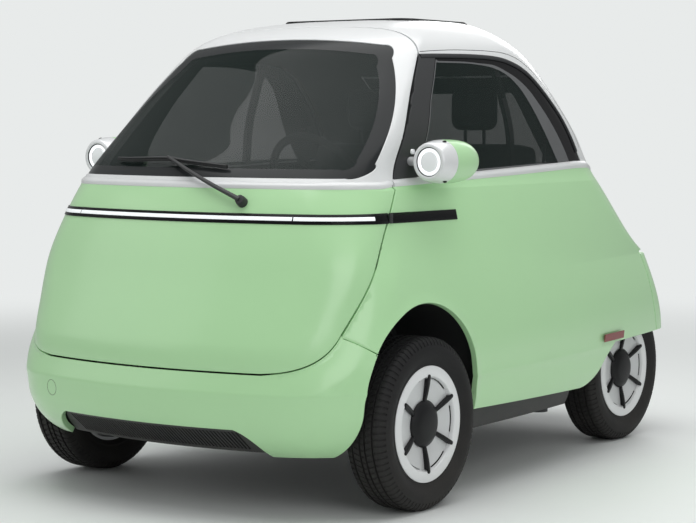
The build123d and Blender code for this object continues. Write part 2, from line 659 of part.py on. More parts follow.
PIECES = {
    "door_panel": door_panel, "door_frame": door_frame, "windscreen": windscreen,
    "door_bar_strip": door_bar_strip, "door_bar_trim": door_bar_trim, "door_lining": door_lining,
    "wiper": wiper, "side_bars": side_bars, "roof_frame": roof_frame, "sunroof": sunroof,
    "front_bumper": front_bumper, "grille": grille, "rear_panel": rear_panel,
    "rear_valance": rear_valance, "tailgate": tailgate, "rear_glass": rear_glass,
    "rear_light_bar": rear_light_bar, "side_glass": side_glass, "pillar_trims": pillar_trims,
    "side_reflectors": side_reflectors, "window_bars": window_bars, "jack_pads": jack_pads,
    "door_hinge_leaf": door_hinge_leaf, "door_hinge_pin": door_hinge_pin,
    "hatch_hinge_leaf": hatch_hinge_leaf, "hatch_hinge_pin": hatch_hinge_pin,
    "floor_tub": floor_tub, "arch_liners": arch_liners, "seat_cushion": seat_cushion,
    "seat_back": seat_back, "head_restraints": head_restraints, "head_posts": head_posts,
    "battery": battery, "steering_wheel": steering_wheel, "steering_column": steering_column,
    "lamp_shells": lamp_shells, "lamp_caps": lamp_caps, "lamp_lenses": lamp_lenses,
    "knuckle_left": knuckle, "front_suspension": front_suspension,
    "rear_suspension": rear_suspension, "motor": motor,
}
for name, make in PIECES.items():
    save(name, make())
save("knuckle_right", mirror(knuckle(), about=Plane.YZ))
for side, panel in halves(body_skin()).items():
    save(f"side_panel_{side}", panel)

WHEELS = (
    # name          x                  y
    ("front_left", FRONT_HALF_TRACK, FRONT_AXLE_Y),
    ("front_right", -FRONT_HALF_TRACK, FRONT_AXLE_Y),
    ("rear_left", REAR_HALF_TRACK, REAR_AXLE_Y),
    ("rear_right", -REAR_HALF_TRACK, REAR_AXLE_Y),
)
for name, x, y in WHEELS:
    for piece in (tyre, rim, star):
        save(f"{name}_{piece.__name__}", wheel_plane(x, y) * piece())
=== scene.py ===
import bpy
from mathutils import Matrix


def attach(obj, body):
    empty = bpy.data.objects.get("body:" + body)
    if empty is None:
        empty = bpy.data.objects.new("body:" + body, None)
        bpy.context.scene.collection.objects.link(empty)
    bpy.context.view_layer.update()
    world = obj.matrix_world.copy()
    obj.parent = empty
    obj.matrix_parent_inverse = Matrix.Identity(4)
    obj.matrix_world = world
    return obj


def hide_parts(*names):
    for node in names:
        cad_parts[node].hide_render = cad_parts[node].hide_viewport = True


bl_info = {
    "name": "Two-seat electric microcar",
    "version": (1, 0, 0),
    "blender": (4, 5, 0),
    "location": "View3D > Sidebar > Microcar",
    "description": "Builds the finish and the detail of a two-seat electric microcar around its frame",
    "category": "Object",
}

from math import atan2, cos, hypot, pi, radians, sin, sqrt

import bmesh
import bpy
import numpy as np
from bpy.props import FloatProperty, FloatVectorProperty, PointerProperty
from mathutils import Matrix, Vector
from mathutils.geometry import delaunay_2d_cdt

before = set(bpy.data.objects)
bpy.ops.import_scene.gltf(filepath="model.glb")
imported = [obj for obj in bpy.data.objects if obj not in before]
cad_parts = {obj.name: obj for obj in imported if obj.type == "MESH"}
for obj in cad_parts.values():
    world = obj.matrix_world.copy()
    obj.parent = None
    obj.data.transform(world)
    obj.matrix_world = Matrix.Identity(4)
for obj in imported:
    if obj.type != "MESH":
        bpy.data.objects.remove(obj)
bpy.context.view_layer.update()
MM = 0.001

# ---- the body's form ---------------------------------------------------------
# Plan sections of the skin, in millimetres, each of eight tangent arcs.
SECTIONS = (
    # z    yf    rf    cf   w    yw    rs     cr   rr    yr
    (170, -1130, 1500, 300, 615, -650, 9500, 150, 1500, 1195),
    (270, -1250, 1550, 332, 672, -650, 9500, 150, 1500, 1250),
    (400, -1265, 1600, 325, 688, -650, 9500, 150, 1500, 1254),
    (540, -1228, 1600, 345, 686, -650, 9500, 150, 1500, 1188),
    (680, -1172, 1600, 258, 664, -600, 8500, 150, 1400, 1116),
    (780, -1135, 1600, 205, 638, -450, 8500, 200, 1400, 937),
    (874, -1095, 1600, 214, 617, -350, 8500, 260, 1300, 846),
    (955, -1052, 1580, 225, 597, -300, 9000, 300, 1200, 773),
    (990, -1025, 1550, 185, 580, -250, 9000, 320, 1100, 759),
    (1100, -895, 1550, 158, 565, -250, 9000, 320, 1100, 676),
    (1220, -755, 1500, 110, 537, -150, 8000, 340, 1000, 579),
    (1330, -635, 1500, 94, 500, -50, 7000, 340, 900, 480),
    (1400, -560, 1400, 105, 465, 0, 6000, 320, 800, 391),
    (1440, -490, 1300, 130, 425, 30, 5000, 320, 800, 330),
    (1470, -390, 1200, 160, 370, 50, 4000, 280, 700, 268),
    (1492, -230, 1000, 180, 260, 70, 3000, 150, 500, 190),
)
LEVELS = 801                      # heights tabled on each skin
RELIEF_STEP = 1e-3
TAIL_U = 5.0                      # u runs 0 at the nose to 5 at the tail, one unit for each arc
CREASE_FROM, CREASE_TO = 2.25, 2.8   # the tail crease fades in between these


def _toward(c, p, r):
    """The point at distance r from c, on the way to p."""
    d = hypot(p[0] - c[0], p[1] - c[1])
    return (c[0] + r * (p[0] - c[0]) / d, c[1] + r * (p[1] - c[1]) / d)


def _meet(c1, r1, c2, r2, sign):
    """Where two circles cross, on the side with the lower (-1) or higher (1) y."""
    dx, dy = c2[0] - c1[0], c2[1] - c1[1]
    d = hypot(dx, dy)
    a = (r1 * r1 - r2 * r2 + d * d) / (2 * d)
    h = sqrt(max(r1 * r1 - a * a, 0))
    x, y = c1[0] + a * dx / d, c1[1] + a * dy / d
    ends = ((x - h * dy / d, y + h * dx / d), (x + h * dy / d, y - h * dx / d))
    return max(ends, key=lambda p: sign * p[1])


def _arcs(row):
    """Five arcs of the left half of a section, as (centre x, centre y, radius, angle 0, angle 1)."""
    z, yf, rf, cf, w, yw, rs, cr, rr, yr = row
    nose, side, tail = (0, yf + rf), (w - rs, yw), (0, yr - rr)
    front, rear = _meet(nose, rf - cf, side, rs - cf, -1), _meet(tail, rr - cr, side, rs - cr, 1)
    stops = ((0, yf), _toward(nose, front, rf), _toward(side, front, rs), _toward(side, rear, rs),
             _toward(tail, rear, rr), (0, yr))
    centres = ((nose, rf), (front, cf), (side, rs), (rear, cr), (tail, rr))
    return [(c[0] * MM, c[1] * MM, r * MM, atan2(p[1] - c[1], p[0] - c[0]), atan2(q[1] - c[1], q[0] - c[0]))
            for (c, r), p, q in zip(centres, stops, stops[1:])]


def _bend_matrix(t):
    """Turns values at the knots t into a cubic spline's second derivatives there."""
    n = len(t)
    h = np.diff(t)
    a, b = np.zeros((n, n)), np.zeros((n, n))
    for i in range(1, n - 1):
        a[i, i - 1:i + 2] = h[i - 1], 2 * (h[i - 1] + h[i]), h[i]
        b[i, i - 1:i + 2] = 6 / h[i - 1], -6 / h[i] - 6 / h[i - 1], 6 / h[i]
    a[0, :3] = h[1], -h[0] - h[1], h[0]
    a[-1, -3:] = h[-1], -h[-2] - h[-1], h[-2]
    return np.linalg.solve(a, b)


class Sheet:
    """A smooth surface through neighbouring sections, at (u, v), with v from 0 to 1."""

    def __init__(self, rows):
        self.arcs = np.array([_arcs(row) for row in rows])
        self.z = np.array([row[0] * MM for row in rows])
        self.knots = np.linspace(0, 1, len(rows))
        columns = self._columns(np.linspace(0, TAIL_U, 41))
        run = np.linalg.norm(np.diff(columns, axis=0), axis=2)
        self.length = float(run.sum(0).mean())
        self.knots = np.r_[0, np.cumsum((run / run.sum(0)).mean(1))]
        self.bend = _bend_matrix(self.knots)
        self.levels = np.linspace(0, 1, LEVELS)
        self.heights = self.at(np.zeros(LEVELS), self.levels)[:, 2]

    def _columns(self, u):
        k = np.clip(np.floor(np.abs(u)).astype(int), 0, 4)
        cx, cy, r, a0, a1 = np.moveaxis(self.arcs[:, k], 2, 0)
        angle = a0 + (np.abs(u) - k) * (a1 - a0)
        x = (cx + r * np.cos(angle)) * np.where(u < 0, -1, 1)
        y = cy + r * np.sin(angle)
        return np.stack([x, y, np.broadcast_to(self.z[:, None], x.shape)], axis=2)

    def at(self, u, v):
        u, v = np.atleast_1d(u).astype(float), np.atleast_1d(v).astype(float)
        values = self._columns(u)
        bends = np.tensordot(self.bend, values, 1)
        i = np.clip(np.searchsorted(self.knots, v) - 1, 0, len(self.knots) - 2)
        h = (self.knots[i + 1] - self.knots[i])[:, None]
        a = (self.knots[i + 1] - v)[:, None] / h
        b = 1 - a
        j = np.arange(len(u))
        line = a * values[i, j] + b * values[i + 1, j]
        return line + ((a ** 3 - a) * bends[i, j] + (b ** 3 - b) * bends[i + 1, j]) * h * h / 6

    def level(self, z):
        return np.interp(z, self.heights, self.levels)


class Skin:
    """One or more sheets above each other. Sheet k covers v from k to k + 1."""

    def __init__(self, *parts, smooth=None):
        self.sheets = [Sheet(rows) for rows in parts]
        self.smooth = Sheet(smooth) if smooth else None
        self.top = len(parts)
        self.lengths = np.array([s.length for s in self.sheets])
        self.stops = np.r_[0, np.cumsum(self.lengths)]
        u = np.linspace(0, TAIL_U, 201)
        ring = self.sheets[-1].at(u, np.zeros(201))
        self.ring = np.r_[0, np.cumsum(np.linalg.norm(np.diff(ring, axis=0), axis=1))]
        self.ring_u = u
        self.relief = None

    def at(self, u, v):
        """Points on the skin, with its relief pushed out or in across the plan section."""
        u, v = np.atleast_1d(u).astype(float), np.atleast_1d(v).astype(float)
        out = self.plain(u, v)
        if self.relief:
            along = self.plain(u + RELIEF_STEP, v) - self.plain(u - RELIEF_STEP, v)
            across = np.c_[along[:, 1], -along[:, 0], np.zeros(len(u))]
            across /= np.linalg.norm(across, axis=1)[:, None]
            out = out + across * self.relief(out)[:, None]
        return out

    def plain(self, u, v):
        k = np.clip(np.floor(v).astype(int), 0, self.top - 1)
        out = np.zeros((len(u), 3))
        for i, sheet in enumerate(self.sheets):
            here = k == i
            if here.any():
                out[here] = sheet.at(u[here], v[here] - i)
        if self.smooth:
            share = np.clip((np.abs(u) - CREASE_FROM) / (CREASE_TO - CREASE_FROM), 0, 1)[:, None]
            share = share * share * (3 - 2 * share)
            soft = self.smooth.at(u, self.smooth.level(out[:, 2]))
            out = share * out + (1 - share) * soft
        return out

    def frames(self, u, v):
        """Points, surface normals and the two tangents."""
        e = 1e-3
        u, v = np.atleast_1d(u).astype(float), np.atleast_1d(v).astype(float)
        v = np.clip(v, 0, self.top)
        base = np.clip(np.floor(v - 1e-9), 0, self.top - 1)
        v0, v1 = np.clip(v - e, base, None), np.clip(v + e, None, base + 1)
        u0, u1 = np.clip(u - e, 0, None), np.clip(u + e, None, TAIL_U)
        du = (self.at(u1, v) - self.at(u0, v)) / (u1 - u0)[:, None]
        eps = 1e-7
        v1 = np.clip(v1, None, base + 1 - eps)
        dv = (self.at(u, v1) - self.at(u, v0)) / (v1 - v0)[:, None]
        n = np.cross(du, dv)
        n /= np.linalg.norm(n, axis=1)[:, None]
        return self.at(u, np.clip(v, None, self.top - eps)), n, du, dv

    def level(self, z):
        """v of a height."""
        z = np.atleast_1d(z).astype(float)
        out = np.zeros(len(z))
        for i, sheet in enumerate(self.sheets):
            here = (z >= sheet.z[0] - 1e-9) if i else np.ones(len(z), bool)
            out[here] = i + sheet.level(z[here])
        return out

    def flat(self, u, v):
        """Near-true lengths on the surface, for meshing."""
        v = np.clip(v, 0, self.top)
        k = np.clip(np.floor(v).astype(int), 0, self.top - 1)
        return np.c_[np.interp(u, self.ring_u, self.ring), self.stops[k] + (v - k) * self.lengths[k]]

    def unflat(self, a, b):
        """(u, v) of points in that plane."""
        u = np.interp(a, self.ring, self.ring_u)
        k = np.clip(np.searchsorted(self.stops, b, side="right") - 1, 0, self.top - 1)
        return u, k + (b - self.stops[k]) / self.lengths[k]

    def find(self, z, value, axis, low, high):
        """u between low and high where the surface at height z has the given x (axis 0) or y (axis 1)."""
        v = self.level(z)
        value = np.broadcast_to(value, v.shape)
        lo, hi = np.full(len(v), float(low)), np.full(len(v), float(high))
        rising = self.at(hi, v)[:, axis] > self.at(lo, v)[:, axis]
        for _ in range(40):
            mid = (lo + hi) / 2
            below = (self.at(mid, v)[:, axis] < value) == rising
            lo, hi = np.where(below, mid, lo), np.where(below, hi, mid)
        return (lo + hi) / 2

    def side(self, points):
        """(u, v) of side-view points (y, z) in millimetres, on the left side."""
        p = np.array(points, float) * MM
        return np.c_[self.find(p[:, 1], p[:, 0], 1, 0, TAIL_U), self.level(p[:, 1])]

    def front(self, points, rear=False):
        """(u, v) of front-view points (x, z) with x >= 0, in millimetres, on the nose or the tail."""
        p = np.array(points, float) * MM
        low, high = (3.0, TAIL_U) if rear else (0.0, 2.2)
        u = self.find(p[:, 1], p[:, 0], 0, low, high)
        u = np.where(p[:, 0] < 1e-9, TAIL_U if rear else 0.0, u)
        return np.c_[u, self.level(p[:, 1])]

    def round(self, u0, u1, step):
        """Values of u from u0 to u1, a step apart."""
        a0, a1 = np.interp([u0, u1], self.ring_u, self.ring)
        a = np.linspace(a0, a1, max(int(abs(a1 - a0) / step), 2) + 1)
        return np.interp(a, self.ring, self.ring_u)

    def ring_path(self, z, u0, u1, step=0.006):
        """A run at one height in millimetres, from u0 to u1."""
        u = self.round(u0, u1, step)
        return np.c_[u, np.full(len(u), self.level(z * MM)[0])]

    def over(self, start, end, u0, u1, count=90):
        """Where the surface crosses the plane of a side-view line, from u0 to u1."""
        out = []
        (y0, z0), (y1, z1) = np.array(start) * MM, np.array(end) * MM
        for u in np.linspace(u0, u1, count):
            v = np.linspace(0, self.top - 1e-6, 1601)
            p = self.at(np.full(1601, u), v)
            f = (p[:, 1] - y0) * (z1 - z0) - (p[:, 2] - z0) * (y1 - y0)
            i = np.nonzero(np.diff(np.sign(f)))[0][-1]
            out.append((u, v[i] + (v[i + 1] - v[i]) * f[i] / (f[i] - f[i + 1])))
        return np.array(out)


LOWER = Skin(SECTIONS[0:5], SECTIONS[4:8], smooth=SECTIONS[0:8])
UPPER = Skin(SECTIONS[7:])


def _centre(a, b, c):
    """The centre of the circle through three points."""
    (ax, ay), (bx, by), (cx, cy) = a, b, c
    d = 2 * (ax * (by - cy) + bx * (cy - ay) + cx * (ay - by))
    aa, bb, cc = ax * ax + ay * ay, bx * bx + by * by, cx * cx + cy * cy
    return ((aa * (by - cy) + bb * (cy - ay) + cc * (ay - by)) / d,
            (aa * (cx - bx) + bb * (ax - cx) + cc * (bx - ax)) / d)


def route(*steps, step=6.0):
    """Side or front view points: each later step is a line to (a, b) or an arc through (a, b) to (c, d)."""
    here = steps[0]
    out = [here]
    for s in steps[1:]:
        end = s[-2:]
        if len(s) == 4:
            ux, uy = _centre(here, s[:2], end)
            radius = hypot(here[0] - ux, here[1] - uy)
            a0, am, a1 = (atan2(q[1] - uy, q[0] - ux) for q in (here, s[:2], end))
            turn = (a1 - a0) % (2 * pi)
            if (am - a0) % (2 * pi) > turn:
                turn -= 2 * pi
            n = max(int(abs(turn) * radius / step), 2)
            angles = [a0 + turn * i / n for i in range(1, n + 1)]
            out += [(ux + radius * cos(a), uy + radius * sin(a)) for a in angles]
        else:
            dx, dy = end[0] - here[0], end[1] - here[1]
            n = max(int(hypot(dx, dy) / step), 1)
            out += [(here[0] + dx * i / n, here[1] + dy * i / n) for i in range(1, n + 1)]
        here = end
    return out


def spaced(points, step, closed=True):
    """The same line with points an even step apart."""
    p = np.array(points, float)
    if closed:
        p = np.vstack([p, p[:1]])
    run = np.r_[0, np.cumsum(np.linalg.norm(np.diff(p, axis=0), axis=1))]
    count = max(int(round(run[-1] / step)), 3)
    t = np.linspace(0, run[-1], count + 1)
    out = np.c_[[np.interp(t, run, p[:, k]) for k in range(p.shape[1])]].T
    return out[:-1] if closed else out


def inside(points, loop):
    """Which points lie inside a closed loop."""
    x, y = points[:, 0], points[:, 1]
    hit = np.zeros(len(points), bool)
    for (x0, y0), (x1, y1) in zip(loop, np.roll(loop, -1, axis=0)):
        if y0 != y1:
            hit ^= ((y0 > y) != (y1 > y)) & (x < (x1 - x0) * (y - y0) / (y1 - y0) + x0)
    return hit


def within(points, loops):
    """Which points lie inside the first loop and outside the rest."""
    keep = inside(points, loops[0])
    for hole in loops[1:]:
        keep &= ~inside(points, hole)
    return keep


def near(points, loop, reach):
    """Which points lie within reach of a loop's own points."""
    out = np.zeros(len(points), bool)
    for start in range(0, len(loop), 64):
        d = np.linalg.norm(points[:, None] - loop[None, start:start + 64], axis=2)
        out |= (d < reach).any(1)
    return out


# ---- meshes ------------------------------------------------------------------
class Build:
    """Collects vertices and faces, each face with its corners' normals and a material number."""

    def __init__(self):
        self.verts, self.faces, self.normals, self.marks = [], [], [], []
        self.count = 0

    def add(self, points):
        start = self.count
        self.verts.append(np.asarray(points, float).reshape(-1, 3))
        self.count += len(self.verts[-1])
        return np.arange(start, self.count)

    def face(self, index, normal, mark=0):
        self.faces.append(tuple(int(i) for i in index))
        self.normals.append(np.asarray(normal, float))
        self.marks.append(mark)

    def mirrored(self):
        """Adds the other half, joined where vertices lie in the middle plane."""
        verts = np.vstack(self.verts)
        twin = np.arange(len(verts)) + len(verts)
        middle = np.abs(verts[:, 0]) < 2e-6
        verts[middle, 0] = 0
        twin[middle] = np.nonzero(middle)[0]
        other = verts * (-1, 1, 1)
        self.verts = [verts, other]
        flip = np.array((-1, 1, 1))
        for f, n, m in list(zip(self.faces, self.normals, self.marks)):
            self.faces.append(tuple(int(twin[i]) for i in f[::-1]))
            self.normals.append(n[::-1] * flip)
            self.marks.append(m)

    def make(self, name, finishes):
        verts = np.vstack(self.verts)
        used = np.unique(np.concatenate([np.array(f) for f in self.faces]))
        new = np.full(len(verts), -1)
        new[used] = np.arange(len(used))
        faces = [tuple(int(new[i]) for i in f) for f in self.faces]
        mesh = bpy.data.meshes.new(name)
        mesh.from_pydata(verts[used].tolist(), [], faces)
        for finish in finishes:
            mesh.materials.append(MATERIALS[finish])
        mesh.polygons.foreach_set("material_index", self.marks)
        mesh.polygons.foreach_set("use_smooth", [True] * len(faces))
        flat = [tuple(n) for ns in self.normals for n in ns]
        mesh.normals_split_custom_set(flat)
        mesh.update()
        obj = bpy.data.objects.new(name, mesh)
        bpy.context.scene.collection.objects.link(obj)
        return obj


def mm(rows):
    """Rows of millimetres as metres."""
    return [tuple(value * MM for value in row) for row in rows]


def unit(v):
    return v / np.maximum(np.linalg.norm(v, axis=-1, keepdims=True), 1e-12)


def rim_frames(skin, loop):
    """Points, normals, outward directions and tangents along a loop in (u, v), closed."""
    p, n, du, dv = skin.frames(loop[:, 0], loop[:, 1])
    before, after = np.roll(p, 1, axis=0), np.roll(p, -1, axis=0)
    u = loop[:, 0]
    for edge in (0.0, TAIL_U):
        on = np.abs(u - edge) < 1e-7
        flip = np.array((-1, 1, 1))
        prev_on, next_on = np.roll(on, 1), np.roll(on, -1)
        a, b = on & prev_on, on & next_on
        before[a], after[b & ~a] = after[a] * flip, before[b & ~a] * flip
        n[on, 0] = 0
    n = unit(n)
    t = unit(np.cross(unit(after - before), n))
    return p, n, t, du, dv


def area(loop):
    """A plane loop's area, negative where it runs clockwise."""
    x, y = loop[:, 0], loop[:, 1]
    return 0.5 * float(np.sum(x * np.roll(y, -1) - np.roll(x, -1) * y))


def fill(loops, step, lines=()):
    """Triangles inside the first loop and outside the rest, in a plane, with points in between.
    The closed lines become edges too."""
    rims = [*loops, *lines]
    low, high = loops[0].min(0), loops[0].max(0)
    nx, ny = np.maximum(((high - low) / step).astype(int), 1)
    gx, gy = np.meshgrid(np.linspace(low[0], high[0], nx + 1), np.linspace(low[1], high[1], ny + 1))
    extra = np.c_[gx.ravel(), gy.ravel()]
    extra = extra[within(extra, loops)]
    for loop in rims:
        extra = extra[~near(extra, spaced(loop, step / 3), 0.55 * step)]
    points = np.vstack([*rims, extra])
    edges, at = [], 0
    for loop in rims:
        m = len(loop)
        edges += [(at + i, at + (i + 1) % m) for i in range(m)]
        at += m
    verts, _, faces, origin, _, _ = delaunay_2d_cdt([Vector(p) for p in points], edges, [], 0, 1e-7, True)
    where = np.array([o[0] if o else -1 for o in origin])
    flat = np.array([tuple(v) for v in verts])
    tri = np.array([f for f in faces if len(f) == 3 and all(where[i] >= 0 for i in f)])
    return points, where[tri[within(flat[tri].mean(1), loops)]]


def in_middle(u):
    """Which places round the skin lie in the middle plane."""
    return (np.abs(u) < 1e-7) | (np.abs(u - TAIL_U) < 1e-7)


def settled(skin, u, v):
    """Points and normals, those in the middle plane kept in it."""
    surf, normal, _, _ = skin.frames(u, v)
    on_seam = in_middle(u)
    normal[on_seam, 0] = 0
    surf[on_seam, 0] = 0
    return surf, unit(normal)


def take(u, v, loops):
    """Puts the loops' own (u, v) back in place of those that went through the plane."""
    at = 0
    for loop in loops:
        u[at:at + len(loop)], v[at:at + len(loop)] = loop[:, 0], loop[:, 1]
        at += len(loop)


def panel(name, skin, loops, depth, finishes, lift=0.0, soft=0.0025, step=0.012, marks=(), flush=(),
          lined=0):
    """A piece of the skin with rounded edges, a return of the given depth and an inner face.
    Edges at the flush heights stay sharp, to meet the next piece. lined is the inner face's finish number."""
    build = Build()
    loops = [np.array(l, float) for l in loops]
    flats, frames, insets = [], [], []
    for k, loop in enumerate(loops):
        flat = skin.flat(loop[:, 0], loop[:, 1])
        if (area(flat) > 0) != (k == 0):
            loop, flat = loop[::-1].copy(), flat[::-1].copy()
            loops[k] = loop
        p, n, t, du, dv = rim_frames(skin, loop)
        level = (np.abs(p[:, 2:] - np.array([*flush, -1.0])) < 0.0015).any(1)
        bend = np.where(level, 0.0001, soft)[:, None]
        shift = -bend * t
        a, b, c = (du * du).sum(1), (du * dv).sum(1), (dv * dv).sum(1)
        e, f = (shift * du).sum(1), (shift * dv).sum(1)
        det = a * c - b * b
        step_uv = np.c_[(e * c - b * f) / det, (a * f - b * e) / det]
        inset = loop + step_uv
        closed = in_middle(loop[:, 0])
        inset[closed, 0] = loop[closed, 0]
        inset[:, 1] = np.clip(inset[:, 1], 0, skin.top - 1e-6)
        flats.append(skin.flat(inset[:, 0], inset[:, 1]))
        frames.append((p, n, t, bend, closed))
        insets.append(inset)
    lines = [skin.flat(line[:, 0], line[:, 1]) for line, _ in marks]
    points, tri = fill(flats, step, lines)
    u, v = skin.unflat(points[:, 0], points[:, 1])
    take(u, v, insets)
    surf, normal = settled(skin, u, v)
    ids = build.add(surf + lift * normal)
    centres = points[tri].mean(1)
    mark = np.zeros(len(tri), int)
    for line, (_, number) in zip(lines, marks):
        mark[inside(centres, line)] = number
    for f, m in zip(tri, mark):
        build.face(ids[f], normal[f], m)
    at = 0
    edge_rows = []
    for p, n, t, bend, closed in frames:
        m = len(p)
        rows, norms = [ids[at:at + m]], [normal[at:at + m]]
        origin = surf[at:at + m] + lift * normal[at:at + m]
        for angle in (30, 60, 90):
            s, c = sin(radians(angle)), cos(radians(angle))
            rows.append(build.add(origin + bend * (t * s - n * (1 - c))))
            norms.append(n * c + t * s)
        rows.append(build.add(origin + bend * t - n * depth))
        norms.append(t)
        mark0 = int(mark[0]) if len(marks) == 0 else 0
        for (r0, r1), (n0, n1) in zip(zip(rows, rows[1:]), zip(norms, norms[1:])):
            for i in range(m):
                j = (i + 1) % m
                if not (closed[i] and closed[j]):
                    build.face((r0[j], r0[i], r1[i], r1[j]), (n0[j], n0[i], n1[i], n1[j]), mark0)
        edge_rows.append(rows[-1])
        at += m
    outer = [skin.flat(loop[:, 0], loop[:, 1]) for loop in loops]
    points, tri = fill(outer, step * 2)
    u, v = skin.unflat(points[:, 0], points[:, 1])
    take(u, v, loops)
    surf, normal = settled(skin, u, v)
    ids = build.add(surf + (lift - depth) * normal)
    at = 0
    for row in edge_rows:
        ids[at:at + len(row)] = row
        at += len(row)
    for f in tri:
        build.face(ids[f[::-1]], -normal[f[::-1]], lined)
    build.mirrored()
    return build.make(name, finishes)


def ribbon(name, skin, path, profile, finishes, closed=False, mirror=True):
    """A bar of the given cross-section, as (outward, above) points, run along a path on the skin."""
    build = Build()
    path = np.array(path, float)
    p, n, du, dv = skin.frames(path[:, 0], path[:, 1])
    if closed:
        way = unit(np.roll(p, -1, axis=0) - np.roll(p, 1, axis=0))
    else:
        way = unit(np.gradient(p, axis=0))
    out = unit(np.cross(way, n))
    profile = np.array(profile, float)
    if area(profile) > 0:
        profile = profile[::-1]
    m = len(profile)
    edge = np.roll(profile, -1, axis=0) - profile
    flat_n = unit(np.c_[-edge[:, 1], edge[:, 0]])
    rows = [build.add(p + out * a + n * b) for a, b in profile]
    for i in range(m):
        j = (i + 1) % m
        ni, nj = unit(flat_n[i] + flat_n[i - 1]), unit(flat_n[i] + flat_n[j])
        if ni @ flat_n[i] < 0.75:
            ni = flat_n[i]
        if nj @ flat_n[i] < 0.75:
            nj = flat_n[i]
        norm_i, norm_j = out * ni[0] + n * ni[1], out * nj[0] + n * nj[1]
        last = len(p) if closed else len(p) - 1
        for k in range(last):
            q = (k + 1) % len(p)
            f = (rows[i][k], rows[i][q], rows[j][q], rows[j][k])
            g = (norm_i[k], norm_i[q], norm_j[q], norm_j[k])
            build.face(f[::-1], g[::-1])
    if not closed:
        for end, sign in ((0, -1), (len(p) - 1, 1)):
            if mirror and in_middle(path[end, 0]):
                continue
            f = [rows[i][end] for i in range(m)]
            build.face(f if sign > 0 else f[::-1], [way[end] * sign] * m)
    if mirror:
        build.mirrored()
    return build.make(name, finishes)


def smooth(points, count=12):
    """A smooth line through points."""
    p = np.array(points, float)
    p = np.vstack([2 * p[0] - p[1], p, 2 * p[-1] - p[-2]])
    out = []
    for a, b, c, d in zip(p, p[1:], p[2:], p[3:]):
        for t in np.arange(count) / count:
            out.append(0.5 * (2 * b + (c - a) * t + (2 * a - 5 * b + 4 * c - d) * t * t
                              + (3 * b - a - 3 * c + d) * t ** 3))
    return np.array(out + [p[-2]])


def seam(skin, u, z0, z1, step=12.0):
    """A run along the middle plane between two heights in millimetres, without its ends."""
    n = max(int(abs(z1 - z0) / step), 2)
    z = np.linspace(z0, z1, n + 1)[1:-1]
    return np.c_[np.full(len(z), float(u)), skin.level(z * MM)]


SAME_PLACE = 6.7e-4               # in u and v


def chain(*runs):
    """One closed loop from runs that follow each other, without repeated points."""
    p = np.vstack(runs)
    gap = np.linalg.norm(p - np.roll(p, 1, axis=0), axis=1)
    return p[gap > SAME_PLACE]


# ---- outlines, in millimetres ------------------------------------------------
GAP = 5.5
SHUT = 3.8
BELT = 955.0
DOOR_LOW = route((-1190, 436), (-1105, 482, -1046, 549), (-762, 955))
DOOR_HIGH = route((-762, 955), (-620, 1190, -460, 1374), (-434, 1428))
BODY_BELT = (-755.9, BELT)
BODY_LOW = [(y + SHUT, z - SHUT) for y, z in DOOR_LOW if z > 540] + [BODY_BELT]
BODY_HIGH = route(BODY_BELT, (-616.6, 1186.6, -456.6, 1370.6), (-430.6, 1424.6))
ARCH = route((-453.5, 345), (-731.5, 622, -970, 492))
ARCH_FRONT = route((-1015.5, 184), (-1015.5, 345), (-1006, 411, -971, 486))
SILL = route((1040, 385), (588, 385), (499, 327), (420, 275, 319, 250), (-453.5, 271.4), (-453.5, 345))
WINDOW_FRONT = route((-741, 985), (-611, 1189, -458, 1368))
WINDOW_ARC = ((-458, 1368), (-375, 1371), (-210, 1374), (-120, 1374), (-50, 1372), (10, 1367),
              (60, 1357), (114, 1340), (165, 1314), (218, 1275), (272, 1230), (323, 1180), (372, 1117),
              (414, 1060), (440, 1023))
WINDOW_FOOT = ((434, 1020), (268, 1016), (119, 1012), (-741, 985))
PILLAR_REAR = route((-380, 1363), (-487, 1224), (-577, 1072), (-623, 989))
PILLAR = WINDOW_FRONT[:-1] + [(-455, 1363)] + PILLAR_REAR
BAND_ARC = ((-371, 1350), (-230, 1351), (-143, 1348), (-53, 1343), (28, 1319), (81, 1296), (132, 1262),
            (179, 1217), (228, 1166), (283, 1103), (322, 1058), (347, 1020))
CLEAR_ARC = ((-367, 1345), (-230, 1346), (-150, 1343), (-75, 1336), (-15, 1322), (29, 1302), (69, 1272),
             (94, 1245), (119, 1212), (143, 1178), (170, 1138), (200, 1098), (231, 1060), (264, 1020))
DRIP = ((-452, 1376), (-395, 1380), (-283, 1386), (-195, 1388), (-108, 1389), (-47, 1388), (12, 1386),
        (64, 1379), (107, 1367), (151, 1348), (191, 1327), (240, 1295), (300, 1247), (360, 1190),
        (410, 1130), (450, 1070))
SCREEN = route((0, 1421), (185, 1415.3, 370, 1398), (405, 1388, 425, 1355), (492, 1250, 547, 1034),
               (545, 1002, 512, 992), (0, 992))
GRILLE = route((0, 269), (330, 269), (380, 230, 396, 192), (398, 184))
SCREEN_CLEAR = route((0, 1391), (175, 1386, 345, 1370), (376, 1360, 392, 1330), (459, 1235, 512, 1046),
                     (512, 1024, 488, 1020), (0, 1020))
REAR_CLEAR = route((0, 1262), (200, 1262), (223, 1258, 232, 1240), (254, 1022), (252, 1012, 240, 1010),
                   (0, 1010))
HATCH_X = 342.0
NOSE_BELT, TAIL_BELT = 961, 975
BELT_LINE = ((-1100, -810, -760, 60, 417, 900), (961, 961, 966, 990, 1001, 1001))      # y against z
BELT_TAIL = ((3.2, 3.6, 5.0), (1001, 977, 975))                                        # u against z
REAR_SCREEN = route((0, 1291), (215, 1291), (246, 1287, 258, 1262), (283, 1010), (279, 990, 256, 986),
                    (0, 986))
WINDOW_REAR = [*map(tuple, smooth(WINDOW_ARC, 10)), *route(*WINDOW_FOOT)]
PANE = spaced([*PILLAR_REAR[::-1], *[q for q in WINDOW_REAR[:-1] if q[0] > -372]], 5.0)
